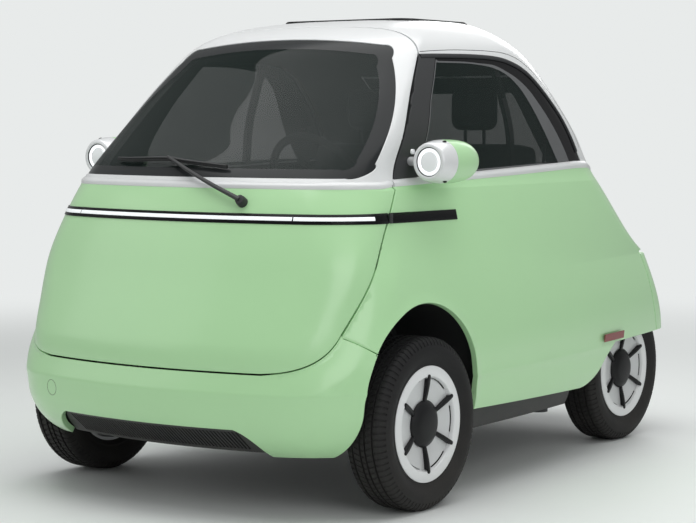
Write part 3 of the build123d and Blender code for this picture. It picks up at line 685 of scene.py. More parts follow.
BAND = spaced([(-614, 994), *[(y + 7, z + 2) for y, z in PILLAR_REAR[::-1][3:-2]], *smooth(BAND_ARC),
               (119, 1016)], 5.0)
CLEAR = spaced([(-606, 1000), *[(y + 12, z + 2) for y, z in PILLAR_REAR[::-1][5:-4]], *smooth(CLEAR_ARC),
                (119, 1021)], 5.0)
# Cross-sections, in millimetres: down the skin, then out of it.
BELT_LIP = ((1.5, -3), (1.5, 0.2), (0.5, 1.0), (-7, 4.6), (-8.5, 4.9), (-12, 4.6), (-24, 0.3), (-24, -3))
SEAL = ((-1, -3), (-1, 0.4), (1, 1.4), (11, 1.6), (13, 0.8), (13, -3))
GROOVE = ((-0.9, -1), (-0.9, 0.3), (0.9, 0.3), (0.9, -1))


def fall(distance, reach):
    """1 on a line, falling to 0 at the given reach, steepest at the line."""
    return np.clip(1 - distance / reach, 0, 1) ** 1.5


def dip(distance, reach):
    """0 on a line, down to 1 at a third of the reach and 0 again beyond it: leaves a crease on the line."""
    t = np.clip(distance / reach, 0, 1)
    return 6.75 * t * (1 - t) ** 2


def line_distance(points, line):
    """Distance of points from a line of straight pieces."""
    best = np.full(len(points), 1e9)
    for a, b in zip(line, line[1:]):
        way = b - a
        t = np.clip((points - a) @ way / (way @ way), 0, 1)
        best = np.minimum(best, np.linalg.norm(points - a - t[:, None] * way, axis=1))
    return best


SHUT_DEPTH, SHUT_REACH, SHUT_FADE = 0.015, 0.080, 0.250
LIP_AT, LIP_RADIUS, LIP_HEIGHT, LIP_REACH = (-0.7315, 0.343), 0.279, 0.005, 0.032
CREASE_Z, CREASE_LOW, CREASE_HIGH, CREASE_REACH, CREASE_END = 0.374, 0.0030, 0.0016, 0.085, (0.35, 0.75)
SHUT_LINE = LOWER.at(*np.vstack([LOWER.ring_path(434, 0, LOWER.side([(-1188, 434)])[0, 0], 0.06),
                                 LOWER.side([(y + SHUT / 2, z - SHUT / 2) for y, z in DOOR_LOW[3::3]])]).T)


def lower_relief(p):
    """How far the lower skin stands out: it turns in at the door's shut line, rises to the wheel arch's lip
    and has a crease low down, all round but for the tail."""
    side = np.abs(p) * (1, 0, 0) + p * (0, 1, 1)
    fade = np.clip((BELT * MM - p[:, 2]) / SHUT_FADE, 0, 1)
    out = -SHUT_DEPTH * fall(line_distance(side, SHUT_LINE), SHUT_REACH) * fade * fade * (3 - 2 * fade)
    from_arch = np.hypot(p[:, 1] - LIP_AT[0], p[:, 2] - LIP_AT[1]) - LIP_RADIUS
    out += LIP_HEIGHT * fall(np.maximum(from_arch, 0), LIP_REACH) * (side[:, 0] > 0.4)
    low = p[:, 2] < CREASE_Z
    depth = np.where(low, CREASE_LOW, CREASE_HIGH)
    end = np.clip((CREASE_END[1] - p[:, 1]) / (CREASE_END[1] - CREASE_END[0]), 0, 1)
    return out - depth * dip(np.abs(p[:, 2] - CREASE_Z), CREASE_REACH) * end


LOWER.relief = lower_relief


DOOR_BELT_Y = -762
DOOR_FOOT, BUMPER_FOOT = (-1190, 436), (-1015.5, 184)         # y and z
SIDE_REAR = ((900, 690), (912, 680), (1040, 385))
REAR_EDGE = ((919.2, 676), (1045.5, 385))
GRILLE_TOP, HATCH_FOOT, HATCH_TOP = 269, 694, 1340
ROOF_FOOT, TAIL_TOP = 1345.5, 1491.9
DOOR_CUT, ROOF_CUT = ((-434, 1428), (-395, 1500)), ((-430.6, 1424.6), (-391.6, 1496.6))
WINDOW_TOP, WINDOW_BOTTOM = 1372, (970, 983)                  # where the window meets the door's edge


def u_at(skin, y, z):
    """The place round the skin of a side view point."""
    return skin.side([(y, z)])[0, 0]


def door_loops():
    bottom_u = u_at(LOWER, *DOOR_FOOT)
    belt_u = u_at(LOWER, DOOR_BELT_Y, BELT - 1e-3)
    return [chain(LOWER.ring_path(DOOR_FOOT[1], 0, bottom_u), LOWER.side(DOOR_LOW)[1:-1],
                  LOWER.ring_path(BELT, belt_u, 0), seam(LOWER, 0, BELT, DOOR_FOOT[1]))]


def frame_loops():
    belt_u = u_at(UPPER, DOOR_BELT_Y, BELT + 1e-3)
    high = UPPER.side(DOOR_HIGH)
    low = belt_path(0, belt_u)
    top = UPPER.over(*DOOR_CUT, high[-1, 0], 0)
    screen = UPPER.front(SCREEN)
    return [chain(low, high[high[:, 1] > low[-1, 1] + 0.002][:-1], top,
                  top_seam(top[-1, 1], screen[0, 1]), screen,
                  seam(UPPER, 0, SCREEN[-1][1], NOSE_BELT))]


def band_loops(u0, u1, edge0=(), edge1=()):
    """The strip of body colour between the two skins' joint and the belt line."""
    low, high = UPPER.ring_path(BELT + 0.01, u0, u1), belt_path(u0, u1)
    return [chain(low, *edge1, high[::-1], *edge0)]


def middle(u):
    """Points on the middle plane between the joint and the belt line, rising."""
    z = np.linspace(BELT + 0.01, NOSE_BELT if u < 1 else TAIL_BELT, 4)[1:-1]
    return np.c_[np.full(2, float(u)), UPPER.level(z * MM)]


def belt_path(u0, u1, step=0.006):
    """The line where the white upper frame begins: it rises along the sides and falls to the tail."""
    u = UPPER.round(u0, u1, step)
    y = UPPER.at(u, np.zeros(len(u)))[:, 1] / MM
    rise = np.interp(y, BELT_LINE[0], BELT_LINE[1])
    z = np.where(u > BELT_TAIL[0][0], np.minimum(rise, np.interp(u, BELT_TAIL[0], BELT_TAIL[1])), rise)
    return np.c_[u, UPPER.level(z * MM)]


def top_seam(v0, v1, step=0.012):
    """A run along the middle of the roof, without its ends."""
    v = np.linspace(v0, v1, max(int(abs(v1 - v0) * UPPER.stops[-1] / step), 2) + 1)[1:-1]
    return np.c_[np.zeros(len(v)), v]


def roof_loops():
    belt_u = u_at(UPPER, BODY_BELT[0], BELT + 1e-3)
    edge = UPPER.front(route((HATCH_X + GAP, BELT), (HATCH_X + GAP, ROOF_FOOT)), rear=True)
    high = UPPER.side(BODY_HIGH)
    top = UPPER.over(*ROOF_CUT, high[-1, 0], 0)
    ring = UPPER.ring_path(TAIL_TOP, TAIL_U, 0)
    window = UPPER.side(WINDOW_REAR)
    above = UPPER.side([p for p in BODY_HIGH if p[1] > WINDOW_TOP])
    low = belt_path(belt_u, edge[0, 0])
    foot = UPPER.side([(y, z) for y, z in BODY_HIGH if WINDOW_BOTTOM[0] < z < WINDOW_BOTTOM[1]])
    return [chain(low, edge[edge[:, 1] > low[-1, 1] + 0.002][:-1],
                  UPPER.ring_path(ROOF_FOOT, edge[-1, 0], TAIL_U),
                  seam(UPPER, TAIL_U, ROOF_FOOT, TAIL_TOP), ring, top_seam(ring[-1, 1], top[-1, 1]),
                  top[::-1], above[:-1][::-1], window, foot[::-1])]


def side_band_loops():
    belt_u = u_at(UPPER, BODY_BELT[0], BELT + 1e-3)
    return band_loops(belt_u, UPPER.front([(HATCH_X + GAP, BELT)], rear=True)[0, 0])


def front_band_loops():
    return band_loops(0, u_at(UPPER, DOOR_BELT_Y, BELT + 1e-3), edge0=(middle(0)[::-1],))


def hatch_band_loops():
    return band_loops(UPPER.front([(HATCH_X, BELT)], rear=True)[0, 0], TAIL_U, edge1=(middle(TAIL_U),))


def side_loops():
    belt_u = u_at(LOWER, BODY_BELT[0], BELT - 1e-3)
    edge = LOWER.front(route((HATCH_X + GAP, BELT), (HATCH_X + GAP, SIDE_REAR[0][1])), rear=True)
    tail_u = u_at(LOWER, *SIDE_REAR[0])
    rear = LOWER.side(route(*SIDE_REAR))
    return [chain(LOWER.ring_path(BELT, belt_u, edge[0, 0]), edge[1:],
                  LOWER.ring_path(SIDE_REAR[0][1], edge[-1, 0], tail_u)[1:], rear[1:],
                  LOWER.side(SILL)[1:], LOWER.side(ARCH)[1:], LOWER.side(BODY_LOW)[:-1])]


def bumper_loops():
    low_u = u_at(LOWER, *BUMPER_FOOT)
    shut = [(y, z - SHUT) for y, z in route((-1046, 549), (-1105, 482, -1190, 436))]
    end_u = u_at(LOWER, *shut[-1])
    top = DOOR_FOOT[1] - SHUT
    grille = LOWER.front(GRILLE)
    return [chain(LOWER.ring_path(BUMPER_FOOT[1], grille[-1, 0], low_u), LOWER.side(ARCH_FRONT)[1:],
                  LOWER.side([(y, z - 4) for y, z in route((-965, 488.5), (-1046, 543.5))])[1:-1],
                  LOWER.side(shut), LOWER.ring_path(top, end_u, 0)[1:], seam(LOWER, 0, top, GRILLE_TOP),
                  grille[:-1])]


def rear_loops():
    (high_u, low_u), (top, foot) = LOWER.side(REAR_EDGE)[:, 0], (z for _, z in REAR_EDGE)
    return [chain(LOWER.ring_path(foot, low_u, TAIL_U), seam(LOWER, TAIL_U, foot, top),
                  LOWER.ring_path(top, TAIL_U, high_u), LOWER.side(route(*REAR_EDGE))[1:-1])]


def hatch_low_loops():
    edge = LOWER.front(route((HATCH_X, HATCH_FOOT), (HATCH_X, BELT)), rear=True)
    return [chain(edge, LOWER.ring_path(BELT, edge[-1, 0], TAIL_U)[1:], seam(LOWER, TAIL_U, BELT, HATCH_FOOT),
                  LOWER.ring_path(HATCH_FOOT, TAIL_U, edge[0, 0])[:-1])]


def hatch_high_loops():
    edge = UPPER.front(route((HATCH_X, BELT), (HATCH_X, HATCH_TOP)), rear=True)
    glass = UPPER.front(REAR_SCREEN, rear=True)
    low = belt_path(edge[0, 0], TAIL_U)
    return [chain(edge[edge[:, 1] > low[0, 1] + 0.002], UPPER.ring_path(HATCH_TOP, edge[-1, 0], TAIL_U)[1:],
                  seam(UPPER, TAIL_U, HATCH_TOP, REAR_SCREEN[0][1]), glass,
                  seam(UPPER, TAIL_U, REAR_SCREEN[-1][1], TAIL_BELT), low[::-1])]


def screen_loop(outline, rear):
    u = TAIL_U if rear else 0
    return chain(UPPER.front(outline, rear=rear), seam(UPPER, u, outline[-1][1], outline[0][1]))


# ---- materials ---------------------------------------------------------------
def group(name, inputs, outputs):
    """An empty shader node group of numbers: its inputs, each with its default, and its outputs."""
    tree = bpy.data.node_groups.new(name, "ShaderNodeTree")
    for label, default in inputs:
        socket = tree.interface.new_socket(label, in_out="INPUT", socket_type="NodeSocketFloat")
        socket.default_value = default
    for label in outputs:
        tree.interface.new_socket(label, in_out="OUTPUT", socket_type="NodeSocketFloat")
    return tree, tree.nodes.new("NodeGroupInput"), tree.nodes.new("NodeGroupOutput")


def node(tree, kind, **settings):
    made = tree.nodes.new(kind)
    for key, value in settings.items():
        setattr(made, key, value)
    return made


def math(tree, operation, a, b=None, c=None, clamp=False):
    made = node(tree, "ShaderNodeMath", operation=operation, use_clamp=clamp)
    for i, value in enumerate((a, b, c)):
        if value is None:
            continue
        if isinstance(value, (int, float)):
            made.inputs[i].default_value = value
        else:
            tree.links.new(value, made.inputs[i])
    return made.outputs[0]


def fine_grain():
    """Moulded or cast surface: small bumps as a height, and a slow change as a mask."""
    tree, start, end = group("Fine grain", (("Scale", 900.0), ("Patch", 12.0)), ("Height", "Mask"))
    place = node(tree, "ShaderNodeTexCoord").outputs["Object"]
    fine = node(tree, "ShaderNodeTexNoise")
    fine.inputs["Detail"].default_value = 2
    slow = node(tree, "ShaderNodeTexNoise")
    slow.inputs["Detail"].default_value = 3
    for made, label in ((fine, "Scale"), (slow, "Patch")):
        tree.links.new(place, made.inputs["Vector"])
        tree.links.new(start.outputs[label], made.inputs["Scale"])
    tree.links.new(fine.outputs["Fac"], end.inputs["Height"])
    tree.links.new(slow.outputs["Fac"], end.inputs["Mask"])
    return tree


def road_dust():
    """A mask that grows from Top down to Bottom, broken up by noise."""
    tree, start, end = group("Road dust", (("Bottom", 0.1), ("Top", 0.5), ("Amount", 0.1)), ("Mask",))
    place = node(tree, "ShaderNodeTexCoord").outputs["Object"]
    split = node(tree, "ShaderNodeSeparateXYZ")
    tree.links.new(place, split.inputs[0])
    rise = node(tree, "ShaderNodeMapRange")
    tree.links.new(split.outputs["Z"], rise.inputs["Value"])
    tree.links.new(start.outputs["Bottom"], rise.inputs["From Min"])
    tree.links.new(start.outputs["Top"], rise.inputs["From Max"])
    rise.inputs["To Min"].default_value = 1
    rise.inputs["To Max"].default_value = 0
    noise = node(tree, "ShaderNodeTexNoise")
    noise.inputs["Scale"].default_value = 9
    noise.inputs["Detail"].default_value = 6
    tree.links.new(place, noise.inputs["Vector"])
    mask = math(tree, "MULTIPLY", rise.outputs[0], noise.outputs["Fac"])
    tree.links.new(math(tree, "MULTIPLY", mask, start.outputs["Amount"], clamp=True), end.inputs["Mask"])
    return tree


def weave():
    """Woven cloth: over and under threads as a height, with a fleck mask."""
    tree, start, end = group("Weave", (("Threads", 900.0),), ("Height", "Fleck"))
    place = node(tree, "ShaderNodeTexCoord").outputs["Object"]
    split = node(tree, "ShaderNodeSeparateXYZ")
    tree.links.new(place, split.inputs[0])
    rows = math(tree, "ADD", split.outputs["Y"], split.outputs["Z"])
    warp = math(tree, "SINE", math(tree, "MULTIPLY", split.outputs["X"], start.outputs["Threads"]))
    weft = math(tree, "SINE", math(tree, "MULTIPLY", rows, start.outputs["Threads"]))
    tree.links.new(math(tree, "MULTIPLY", warp, weft), end.inputs["Height"])
    fleck = node(tree, "ShaderNodeTexNoise")
    fleck.inputs["Scale"].default_value = 420
    tree.links.new(place, fleck.inputs["Vector"])
    tree.links.new(fleck.outputs["Fac"], end.inputs["Fleck"])
    return tree


GROUPS = {}
MATERIALS = {}
ROUGH_SPREAD = 0.03
DUST = (0.30, 0.27, 0.23, 1)


def blank(name):
    """A new material, with its tree and its main shader."""
    mat = bpy.data.materials.new(name)
    mat.use_nodes = True
    MATERIALS[name] = mat
    return mat, mat.node_tree, mat.node_tree.nodes["Principled BSDF"]


def give(shader, **values):
    """Sets sockets by name, with _ for a space."""
    for key, value in values.items():
        shader.inputs[key.replace("_", " ")].default_value = value


def bumped(tree, shader, height, depth):
    bump = node(tree, "ShaderNodeBump")
    give(bump, Distance=depth)
    tree.links.new(height, bump.inputs["Height"])
    tree.links.new(bump.outputs[0], shader.inputs["Normal"])


def shade(name, colour, rough, metallic=0.0, coat=0.0, grain=300.0, depth=0.0, dust=0.0, mottle=0.04,
          ior=1.5, glow=0.0, coat_rough=0.03):
    """A finish: colour broken up slightly, roughness that varies, grain as bump and a little road dust."""
    mat, tree, bsdf = blank(name)
    texture = node(tree, "ShaderNodeGroup", node_tree=GROUPS["grain"])
    give(texture, Scale=grain)
    mix = node(tree, "ShaderNodeMix", data_type="RGBA")
    give(mix, A=[c * (1 - mottle) for c in colour[:3]] + [1],
         B=[min(c * (1 + mottle), 1) for c in colour[:3]] + [1])
    tree.links.new(texture.outputs["Mask"], mix.inputs["Factor"])
    shown = mix.outputs["Result"]
    if dust:
        soil = node(tree, "ShaderNodeGroup", node_tree=GROUPS["dust"])
        give(soil, Amount=dust)
        over = node(tree, "ShaderNodeMix", data_type="RGBA")
        give(over, B=DUST)
        tree.links.new(soil.outputs["Mask"], over.inputs["Factor"])
        tree.links.new(shown, over.inputs["A"])
        shown = over.outputs["Result"]
    tree.links.new(shown, bsdf.inputs["Base Color"])
    vary = node(tree, "ShaderNodeMapRange")
    give(vary, To_Min=rough - ROUGH_SPREAD, To_Max=rough + ROUGH_SPREAD)
    tree.links.new(texture.outputs["Mask"], vary.inputs["Value"])
    tree.links.new(vary.outputs[0], bsdf.inputs["Roughness"])
    if depth:
        bumped(tree, bsdf, texture.outputs["Height"], depth)
    give(bsdf, Metallic=metallic, Coat_Weight=coat, Coat_Roughness=coat_rough, IOR=ior)
    if glow:
        give(bsdf, Emission_Color=(*colour[:3], 1), Emission_Strength=glow)
    return mat


def tinted_glass(name, tint, alpha, gloss=0.14):
    """Thin tinted glass: mostly clear, with a mirror-like face."""
    _, _, bsdf = blank(name)
    give(bsdf, Base_Color=(*tint, 1), Roughness=0.02, Alpha=alpha, Specular_IOR_Level=gloss)


def cloth(name, colour):
    """Woven cloth with darker and paler flecks."""
    _, tree, bsdf = blank(name)
    texture = node(tree, "ShaderNodeGroup", node_tree=GROUPS["weave"])
    mix = node(tree, "ShaderNodeMix", data_type="RGBA")
    give(mix, A=[c * 0.7 for c in colour] + [1], B=[c * 1.4 for c in colour] + [1])
    tree.links.new(texture.outputs["Fleck"], mix.inputs["Factor"])
    tree.links.new(mix.outputs["Result"], bsdf.inputs["Base Color"])
    bumped(tree, bsdf, texture.outputs["Height"], 0.0005)
    give(bsdf, Roughness=0.85, Sheen_Weight=0.3)


# ---- plain forms, each as (points, faces, material numbers) -------------------
def solid(name, parts, finishes, sharp=32):
    """One mesh from several forms, smooth but for edges sharper than the given angle."""
    points, faces, marks = [], [], []
    for part, quads, mark in parts:
        start = len(points)
        points += [tuple(q) for q in part]
        faces += [tuple(start + i for i in f) for f in quads]
        marks += [mark] * len(quads) if isinstance(mark, int) else list(mark)
    mesh = bpy.data.meshes.new(name)
    mesh.from_pydata(points, [], faces)
    for finish in finishes:
        mesh.materials.append(MATERIALS[finish])
    mesh.polygons.foreach_set("material_index", marks)
    form = bmesh.new()
    form.from_mesh(mesh)
    bmesh.ops.recalc_face_normals(form, faces=form.faces)
    form.to_mesh(mesh)
    form.free()
    mesh.polygons.foreach_set("use_smooth", [True] * len(faces))
    mesh.set_sharp_from_angle(angle=radians(sharp))
    mesh.update()
    obj = bpy.data.objects.new(name, mesh)
    bpy.context.scene.collection.objects.link(obj)
    return obj


def turned(outline, turns, mark=0, loop=False):
    """A form turned about Z from (radius, height) points, or from a function of the turn that gives them."""
    angles = 2 * pi * np.arange(turns) / turns
    lines = [outline(i) if callable(outline) else outline for i in range(turns)]
    count = len(lines[0])
    points = [(line[k][0] * cos(a), line[k][0] * sin(a), line[k][1])
              for k in range(count) for line, a in zip(lines, angles)]
    faces, marks = [], []
    for k in range(count if loop else count - 1):
        low, high = k * turns, (k + 1) % count * turns
        for i in range(turns):
            j = (i + 1) % turns
            faces.append((low + i, low + j, high + j, high + i))
            marks.append(mark(k, i) if callable(mark) else mark)
    if not loop:
        faces += [tuple(range(turns))[::-1], tuple(range((count - 1) * turns, count * turns))]
        marks += [marks[0], marks[-1]]
    return points, faces, marks


def tube(path, radius, sides=12, mark=0, closed=False, squash=1.0, side=(0.0, 0.0, 1.0)):
    """A round bar along a path, or a flattened one, thinner by squash across the given side."""
    path = np.array(path, float)
    way = unit(np.roll(path, -1, 0) - np.roll(path, 1, 0)) if closed else unit(np.gradient(path, axis=0))
    points, across = [], np.array(side, float)
    for centre, along, r in zip(path, way, np.broadcast_to(radius, len(path))):
        across = unit(across - along * (across @ along))
        other = np.cross(along, across)
        points += [centre + r * (squash * across * cos(a) + other * sin(a))
                   for a in 2 * pi * np.arange(sides) / sides]
    last = len(path) if closed else len(path) - 1
    faces = [(k * sides + i, k * sides + (i + 1) % sides, (k + 1) % len(path) * sides + (i + 1) % sides,
              (k + 1) % len(path) * sides + i) for k in range(last) for i in range(sides)]
    if not closed:
        faces += [tuple(range(sides))[::-1], tuple(range(last * sides, (last + 1) * sides))]
    return points, faces, mark


def brick(size, radius, mark=0, count=8):
    """A box with rounded edges, its points spread over all six sides."""
    half = np.array(size, float) / 2
    inner = np.maximum(half - radius, 0)
    t = np.linspace(-1, 1, count + 1)
    t = np.sign(t) * np.abs(t) ** 0.8
    found, points, faces = {}, [], []

    def point(q):
        key = tuple(np.round(q, 6))
        if key not in found:
            found[key] = len(points)
            flat = np.array(q) * half
            core = np.clip(flat, -inner, inner)
            away = flat - core
            points.append(core + radius * unit(away))
        return found[key]

    for axis in range(3):
        for sign in (-1, 1):
            for a0, a1 in zip(t, t[1:]):
                for b0, b1 in zip(t, t[1:]):
                    corner = []
                    for a, b in ((a0, b0), (a1, b0), (a1, b1), (a0, b1)):
                        q = [0.0] * 3
                        q[axis], q[(axis + 1) % 3], q[(axis + 2) % 3] = sign, a, b
                        corner.append(point(q))
                    faces.append(tuple(corner))
    return points, faces, mark


def placed(part, matrix):
    return [matrix @ Vector(tuple(q)) for q in part[0]], part[1], part[2]


def mirrored(part):
    return [(-q[0], q[1], q[2]) for q in part[0]], part[1], part[2]


def pair(*parts):
    """The parts and their twins on the other side."""
    return [*parts, *(mirrored(part) for part in parts)]


# ---- sizes and colours a user would change -----------------------------------
class MicrocarPaint(bpy.types.PropertyGroup):
    body: FloatVectorProperty(name="Body", description="Colour of the painted body", subtype="COLOR",
                              default=(0.45, 0.745, 0.40), min=0, max=1)
    upper: FloatVectorProperty(name="Upper frame",
                               description="Colour of the roof, the door frame and the tail",
                               subtype="COLOR", default=(0.70, 0.71, 0.715), min=0, max=1)
    tint: FloatVectorProperty(name="Glass tint", description="Colour of the window glass", subtype="COLOR",
                              default=(0.012, 0.02, 0.018), min=0, max=1)
    tint_strength: FloatProperty(name="Tint strength", description="How much of the light the glass stops",
                                 default=0.54, min=0, max=1, subtype="FACTOR")


class MicrocarBody(bpy.types.PropertyGroup):
    edge: FloatProperty(name="Edge radius", description="Radius where a panel turns in at a shut line",
                        default=2.5 * MM, min=0.5 * MM, max=6 * MM, unit="LENGTH")
    mesh_step: FloatProperty(name="Mesh step", description="Spacing of the vertices on a painted panel",
                             default=12 * MM, min=6 * MM, max=40 * MM, unit="LENGTH")
    stuffing: FloatProperty(name="Stuffing", description="How far the seats' covers may swell",
                            default=9 * MM, min=0, max=25 * MM, unit="LENGTH")


class MicrocarStage(bpy.types.PropertyGroup):
    floor: FloatVectorProperty(name="Floor", description="Colour of the floor", subtype="COLOR",
                               default=(0.80, 0.82, 0.81), min=0, max=1)
    key: FloatProperty(name="Key light", description="Power of the main light", default=135.0, min=0,
                       unit="POWER")
    fill: FloatProperty(name="Fill light", description="Power of the side light", default=44.0, min=0,
                        unit="POWER")
    world: FloatProperty(name="Sky", description="Strength of the even light from all round", default=0.42,
                         min=0)


class MICROCAR_OT_finishes(bpy.types.Operator):
    """Makes every finish that the pieces use"""
    bl_idname = "microcar.finishes"
    bl_label = "Finishes"

    def execute(self, context):
        p = context.scene.microcar_paint
        GROUPS.update(grain=fine_grain(), dust=road_dust(), weave=weave())
        shade("Mint paint", p.body, 0.36, coat=0.6, coat_rough=0.16, grain=1400, depth=0.00002, dust=0.06,
              mottle=0.01)
        shade("White paint", p.upper, 0.36, coat=0.5, coat_rough=0.16, grain=1400, depth=0.00002, mottle=0.01)
        # A darker copy of the body colour: painted shade for the towing cover's shut line
        shade("Mint painted shade", [0.35 * value for value in p.body], 0.5, grain=900, mottle=0.03)
        shade("Cabin lining", (0.035, 0.036, 0.038), 0.7, grain=900, depth=0.0001, mottle=0.15)
        shade("Pillar grey", (0.045, 0.046, 0.048), 0.36, ior=1.3, grain=600, mottle=0.06)
        shade("Inner strip", (0.12, 0.123, 0.127), 0.5, ior=1.3, grain=600, mottle=0.06)
        shade("Satin black", (0.009, 0.009, 0.010), 0.42, ior=1.32, grain=600, mottle=0.1)
        shade("Silver paint", (0.78, 0.79, 0.80), 0.30, metallic=0.15, coat=0.8, grain=900, mottle=0.02)
        shade("Wheel white", (0.80, 0.81, 0.82), 0.34, coat=0.5, grain=700, dust=0.2, mottle=0.02)
        shade("Wheel silver", (0.66, 0.67, 0.68), 0.36, metallic=0.15, grain=700, dust=0.2, mottle=0.02)
        shade("Gloss black", (0.006, 0.006, 0.007), 0.2, ior=1.22, grain=400, mottle=0.1)
        shade("Grey border", (0.022, 0.024, 0.025), 0.2, ior=1.25, grain=400, mottle=0.05)
        shade("Grained black", (0.022, 0.023, 0.024), 0.55, grain=1100, depth=0.00012, dust=0.15, mottle=0.1)
        shade("Dark grey seal", (0.03, 0.031, 0.033), 0.55, ior=1.3, grain=800, depth=0.00005, mottle=0.08)
        shade("Lit strip", (0.88, 0.91, 0.93), 0.2, coat=0.6, grain=200, glow=0.35, mottle=0.01)
        shade("Red lamp", (0.20, 0.012, 0.009), 0.3, coat=0.2, grain=200, mottle=0.1)
        shade("Lamp glow", (0.93, 0.95, 0.97), 0.2, coat=0.8, grain=200, glow=0.7, mottle=0.01)
        shade("Tyre rubber", (0.010, 0.010, 0.011), 0.7, ior=1.35, grain=650, depth=0.0002, dust=0.1,
              mottle=0.12)
        shade("Plain steel", (0.22, 0.225, 0.23), 0.42, metallic=0.8, grain=500, depth=0.00008, dust=0.5,
              mottle=0.1)
        shade("Cast metal", (0.40, 0.41, 0.42), 0.5, metallic=0.8, grain=350, depth=0.0003, dust=0.5,
              mottle=0.1)
        shade("Soft-touch black", (0.030, 0.031, 0.033), 0.62, grain=1400, depth=0.0001, mottle=0.1)
        cloth("Bench cloth", (0.050, 0.052, 0.056))
        cloth("Belt webbing", (0.02, 0.02, 0.022))
        tinted_glass("Tinted glass", p.tint, p.tint_strength)
        tinted_glass("Clear lens", (0.8, 0.83, 0.85), 0.25)
        shade("Frosted lens", (0.74, 0.76, 0.77), 0.25, coat=0.6, grain=500, glow=0.2, mottle=0.05)
        return {"FINISHED"}


def settle(obj, body, slot, *nodes):
    """The piece rides on its body and stands for the nodes it replaces."""
    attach(obj, body)
    if nodes:
        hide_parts(*nodes)
    return obj


class MICROCAR_OT_panels(bpy.types.Operator):
    """Builds the painted panels, each with rounded and returned edges"""
    bl_idname = "microcar.panels"
    bl_label = "Painted panels"

    def execute(self, context):
        b = context.scene.microcar_body
        mint, white = "Mint paint", "White paint"
        rows = (
            # piece, body, slot, finish, skin, loops, depth, nodes
            ("door_skin", "front_door", "body_paint", mint, LOWER, door_loops, 0.045, ("door_panel",)),
            ("door_upper_frame", "front_door", "white_paint", white, UPPER, frame_loops, 0.032,
             ("door_frame",)),
            ("side_skins", "body", "body_paint", mint, LOWER, side_loops, 0.018,
             ("side_panel_left", "side_panel_right")),
            ("roof_skin", "body", "white_paint", white, UPPER, roof_loops, 0.032, ("roof_frame",)),
            ("bumper_skin", "body", "body_paint", mint, LOWER, bumper_loops, 0.018, ("front_bumper",)),
            ("tail_skin", "body", "body_paint", mint, LOWER, rear_loops, 0.018, ("rear_panel",)),
            ("hatch_lower", "rear_hatch", "body_paint", mint, LOWER, hatch_low_loops, 0.035, ("tailgate",)),
            ("hatch_upper", "rear_hatch", "white_paint", white, UPPER, hatch_high_loops, 0.035,
             ("tailgate",)),
            ("door_band", "front_door", "body_paint", mint, UPPER, front_band_loops, 0.045, ()),
            ("side_bands", "body", "body_paint", mint, UPPER, side_band_loops, 0.018, ()),
            ("hatch_band", "rear_hatch", "body_paint", mint, UPPER, hatch_band_loops, 0.035, ()),
        )
        for name, body, slot, finish, skin, loops, depth, nodes in rows:
            obj = panel(name, skin, loops(), depth, [finish, "Cabin lining"], soft=b.edge, step=b.mesh_step,
                        flush=(BELT * MM,), lined=1)
            settle(obj, body, slot, *nodes)
        for name, body, u0, u1 in (
                ("door_belt", "front_door", 0, u_at(UPPER, -763, NOSE_BELT)),
                ("side_belts", "body", u_at(UPPER, -752, 966),
                 UPPER.front([(HATCH_X + GAP, 976)], rear=True)[0, 0]),
                ("hatch_belt", "rear_hatch", UPPER.front([(HATCH_X, 976)], rear=True)[0, 0], TAIL_U)):
            settle(ribbon(name, UPPER, belt_path(u0, u1, 0.02), mm(BELT_LIP), [white]), body, "white_paint")
        return {"FINISHED"}


GLASS_T, GLASS_LIFT, GLASS_EDGE = 0.005, -0.003, 0.001


class MICROCAR_OT_glazing(bpy.types.Operator):
    """Builds the windscreen, the rear glass and the side windows with their black borders"""
    bl_idname = "microcar.glazing"
    bl_label = "Glazing"

    def execute(self, context):
        step = context.scene.microcar_body.mesh_step * 1.3
        for name, body, rear, outline, clear, cad in (
                ("windscreen_glass", "front_door", False, SCREEN, SCREEN_CLEAR, "windscreen"),
                ("rear_window_glass", "rear_hatch", True, REAR_SCREEN, REAR_CLEAR, "rear_glass")):
            obj = panel(name, UPPER, [screen_loop(outline, rear)], GLASS_T, ["Grey border", "Tinted glass"],
                        lift=GLASS_LIFT, soft=GLASS_EDGE, step=step, marks=[(screen_loop(clear, rear), 1)],
                        lined=1)
            settle(obj, body, "glass", cad)
        lines = [(UPPER.side(BAND), 1), (UPPER.side(CLEAR), 2)]
        obj = panel("side_window_glass", UPPER, [UPPER.side(PANE)], GLASS_T,
                    ["Gloss black", "Inner strip", "Tinted glass"], lift=GLASS_LIFT, soft=GLASS_EDGE,
                    step=step, marks=lines, lined=2)
        settle(obj, "body", "glass", "side_glass")
        obj = panel("pillar_covers", UPPER, [UPPER.side(PILLAR)], 0.02, ["Pillar grey"],
                    lift=-0.0005, soft=0.0015, step=step)
        settle(obj, "body", "black_trim", "pillar_trims")
        arc = spaced(smooth(WINDOW_ARC[:-1]), 8.0, closed=False)
        seals = ribbon("window_seals", UPPER, UPPER.side(arc), mm(SEAL), ["Dark grey seal"])
        settle(seals, "body", "black_trim")
        line = UPPER.side(spaced(smooth(DRIP), 12.0, closed=False))
        drips = ribbon("drip_lines", UPPER, line, mm(GROOVE), ["Gloss black"])
        settle(drips, "body", "black_trim")
        return {"FINISHED"}


TREAD_PITCHES = 84
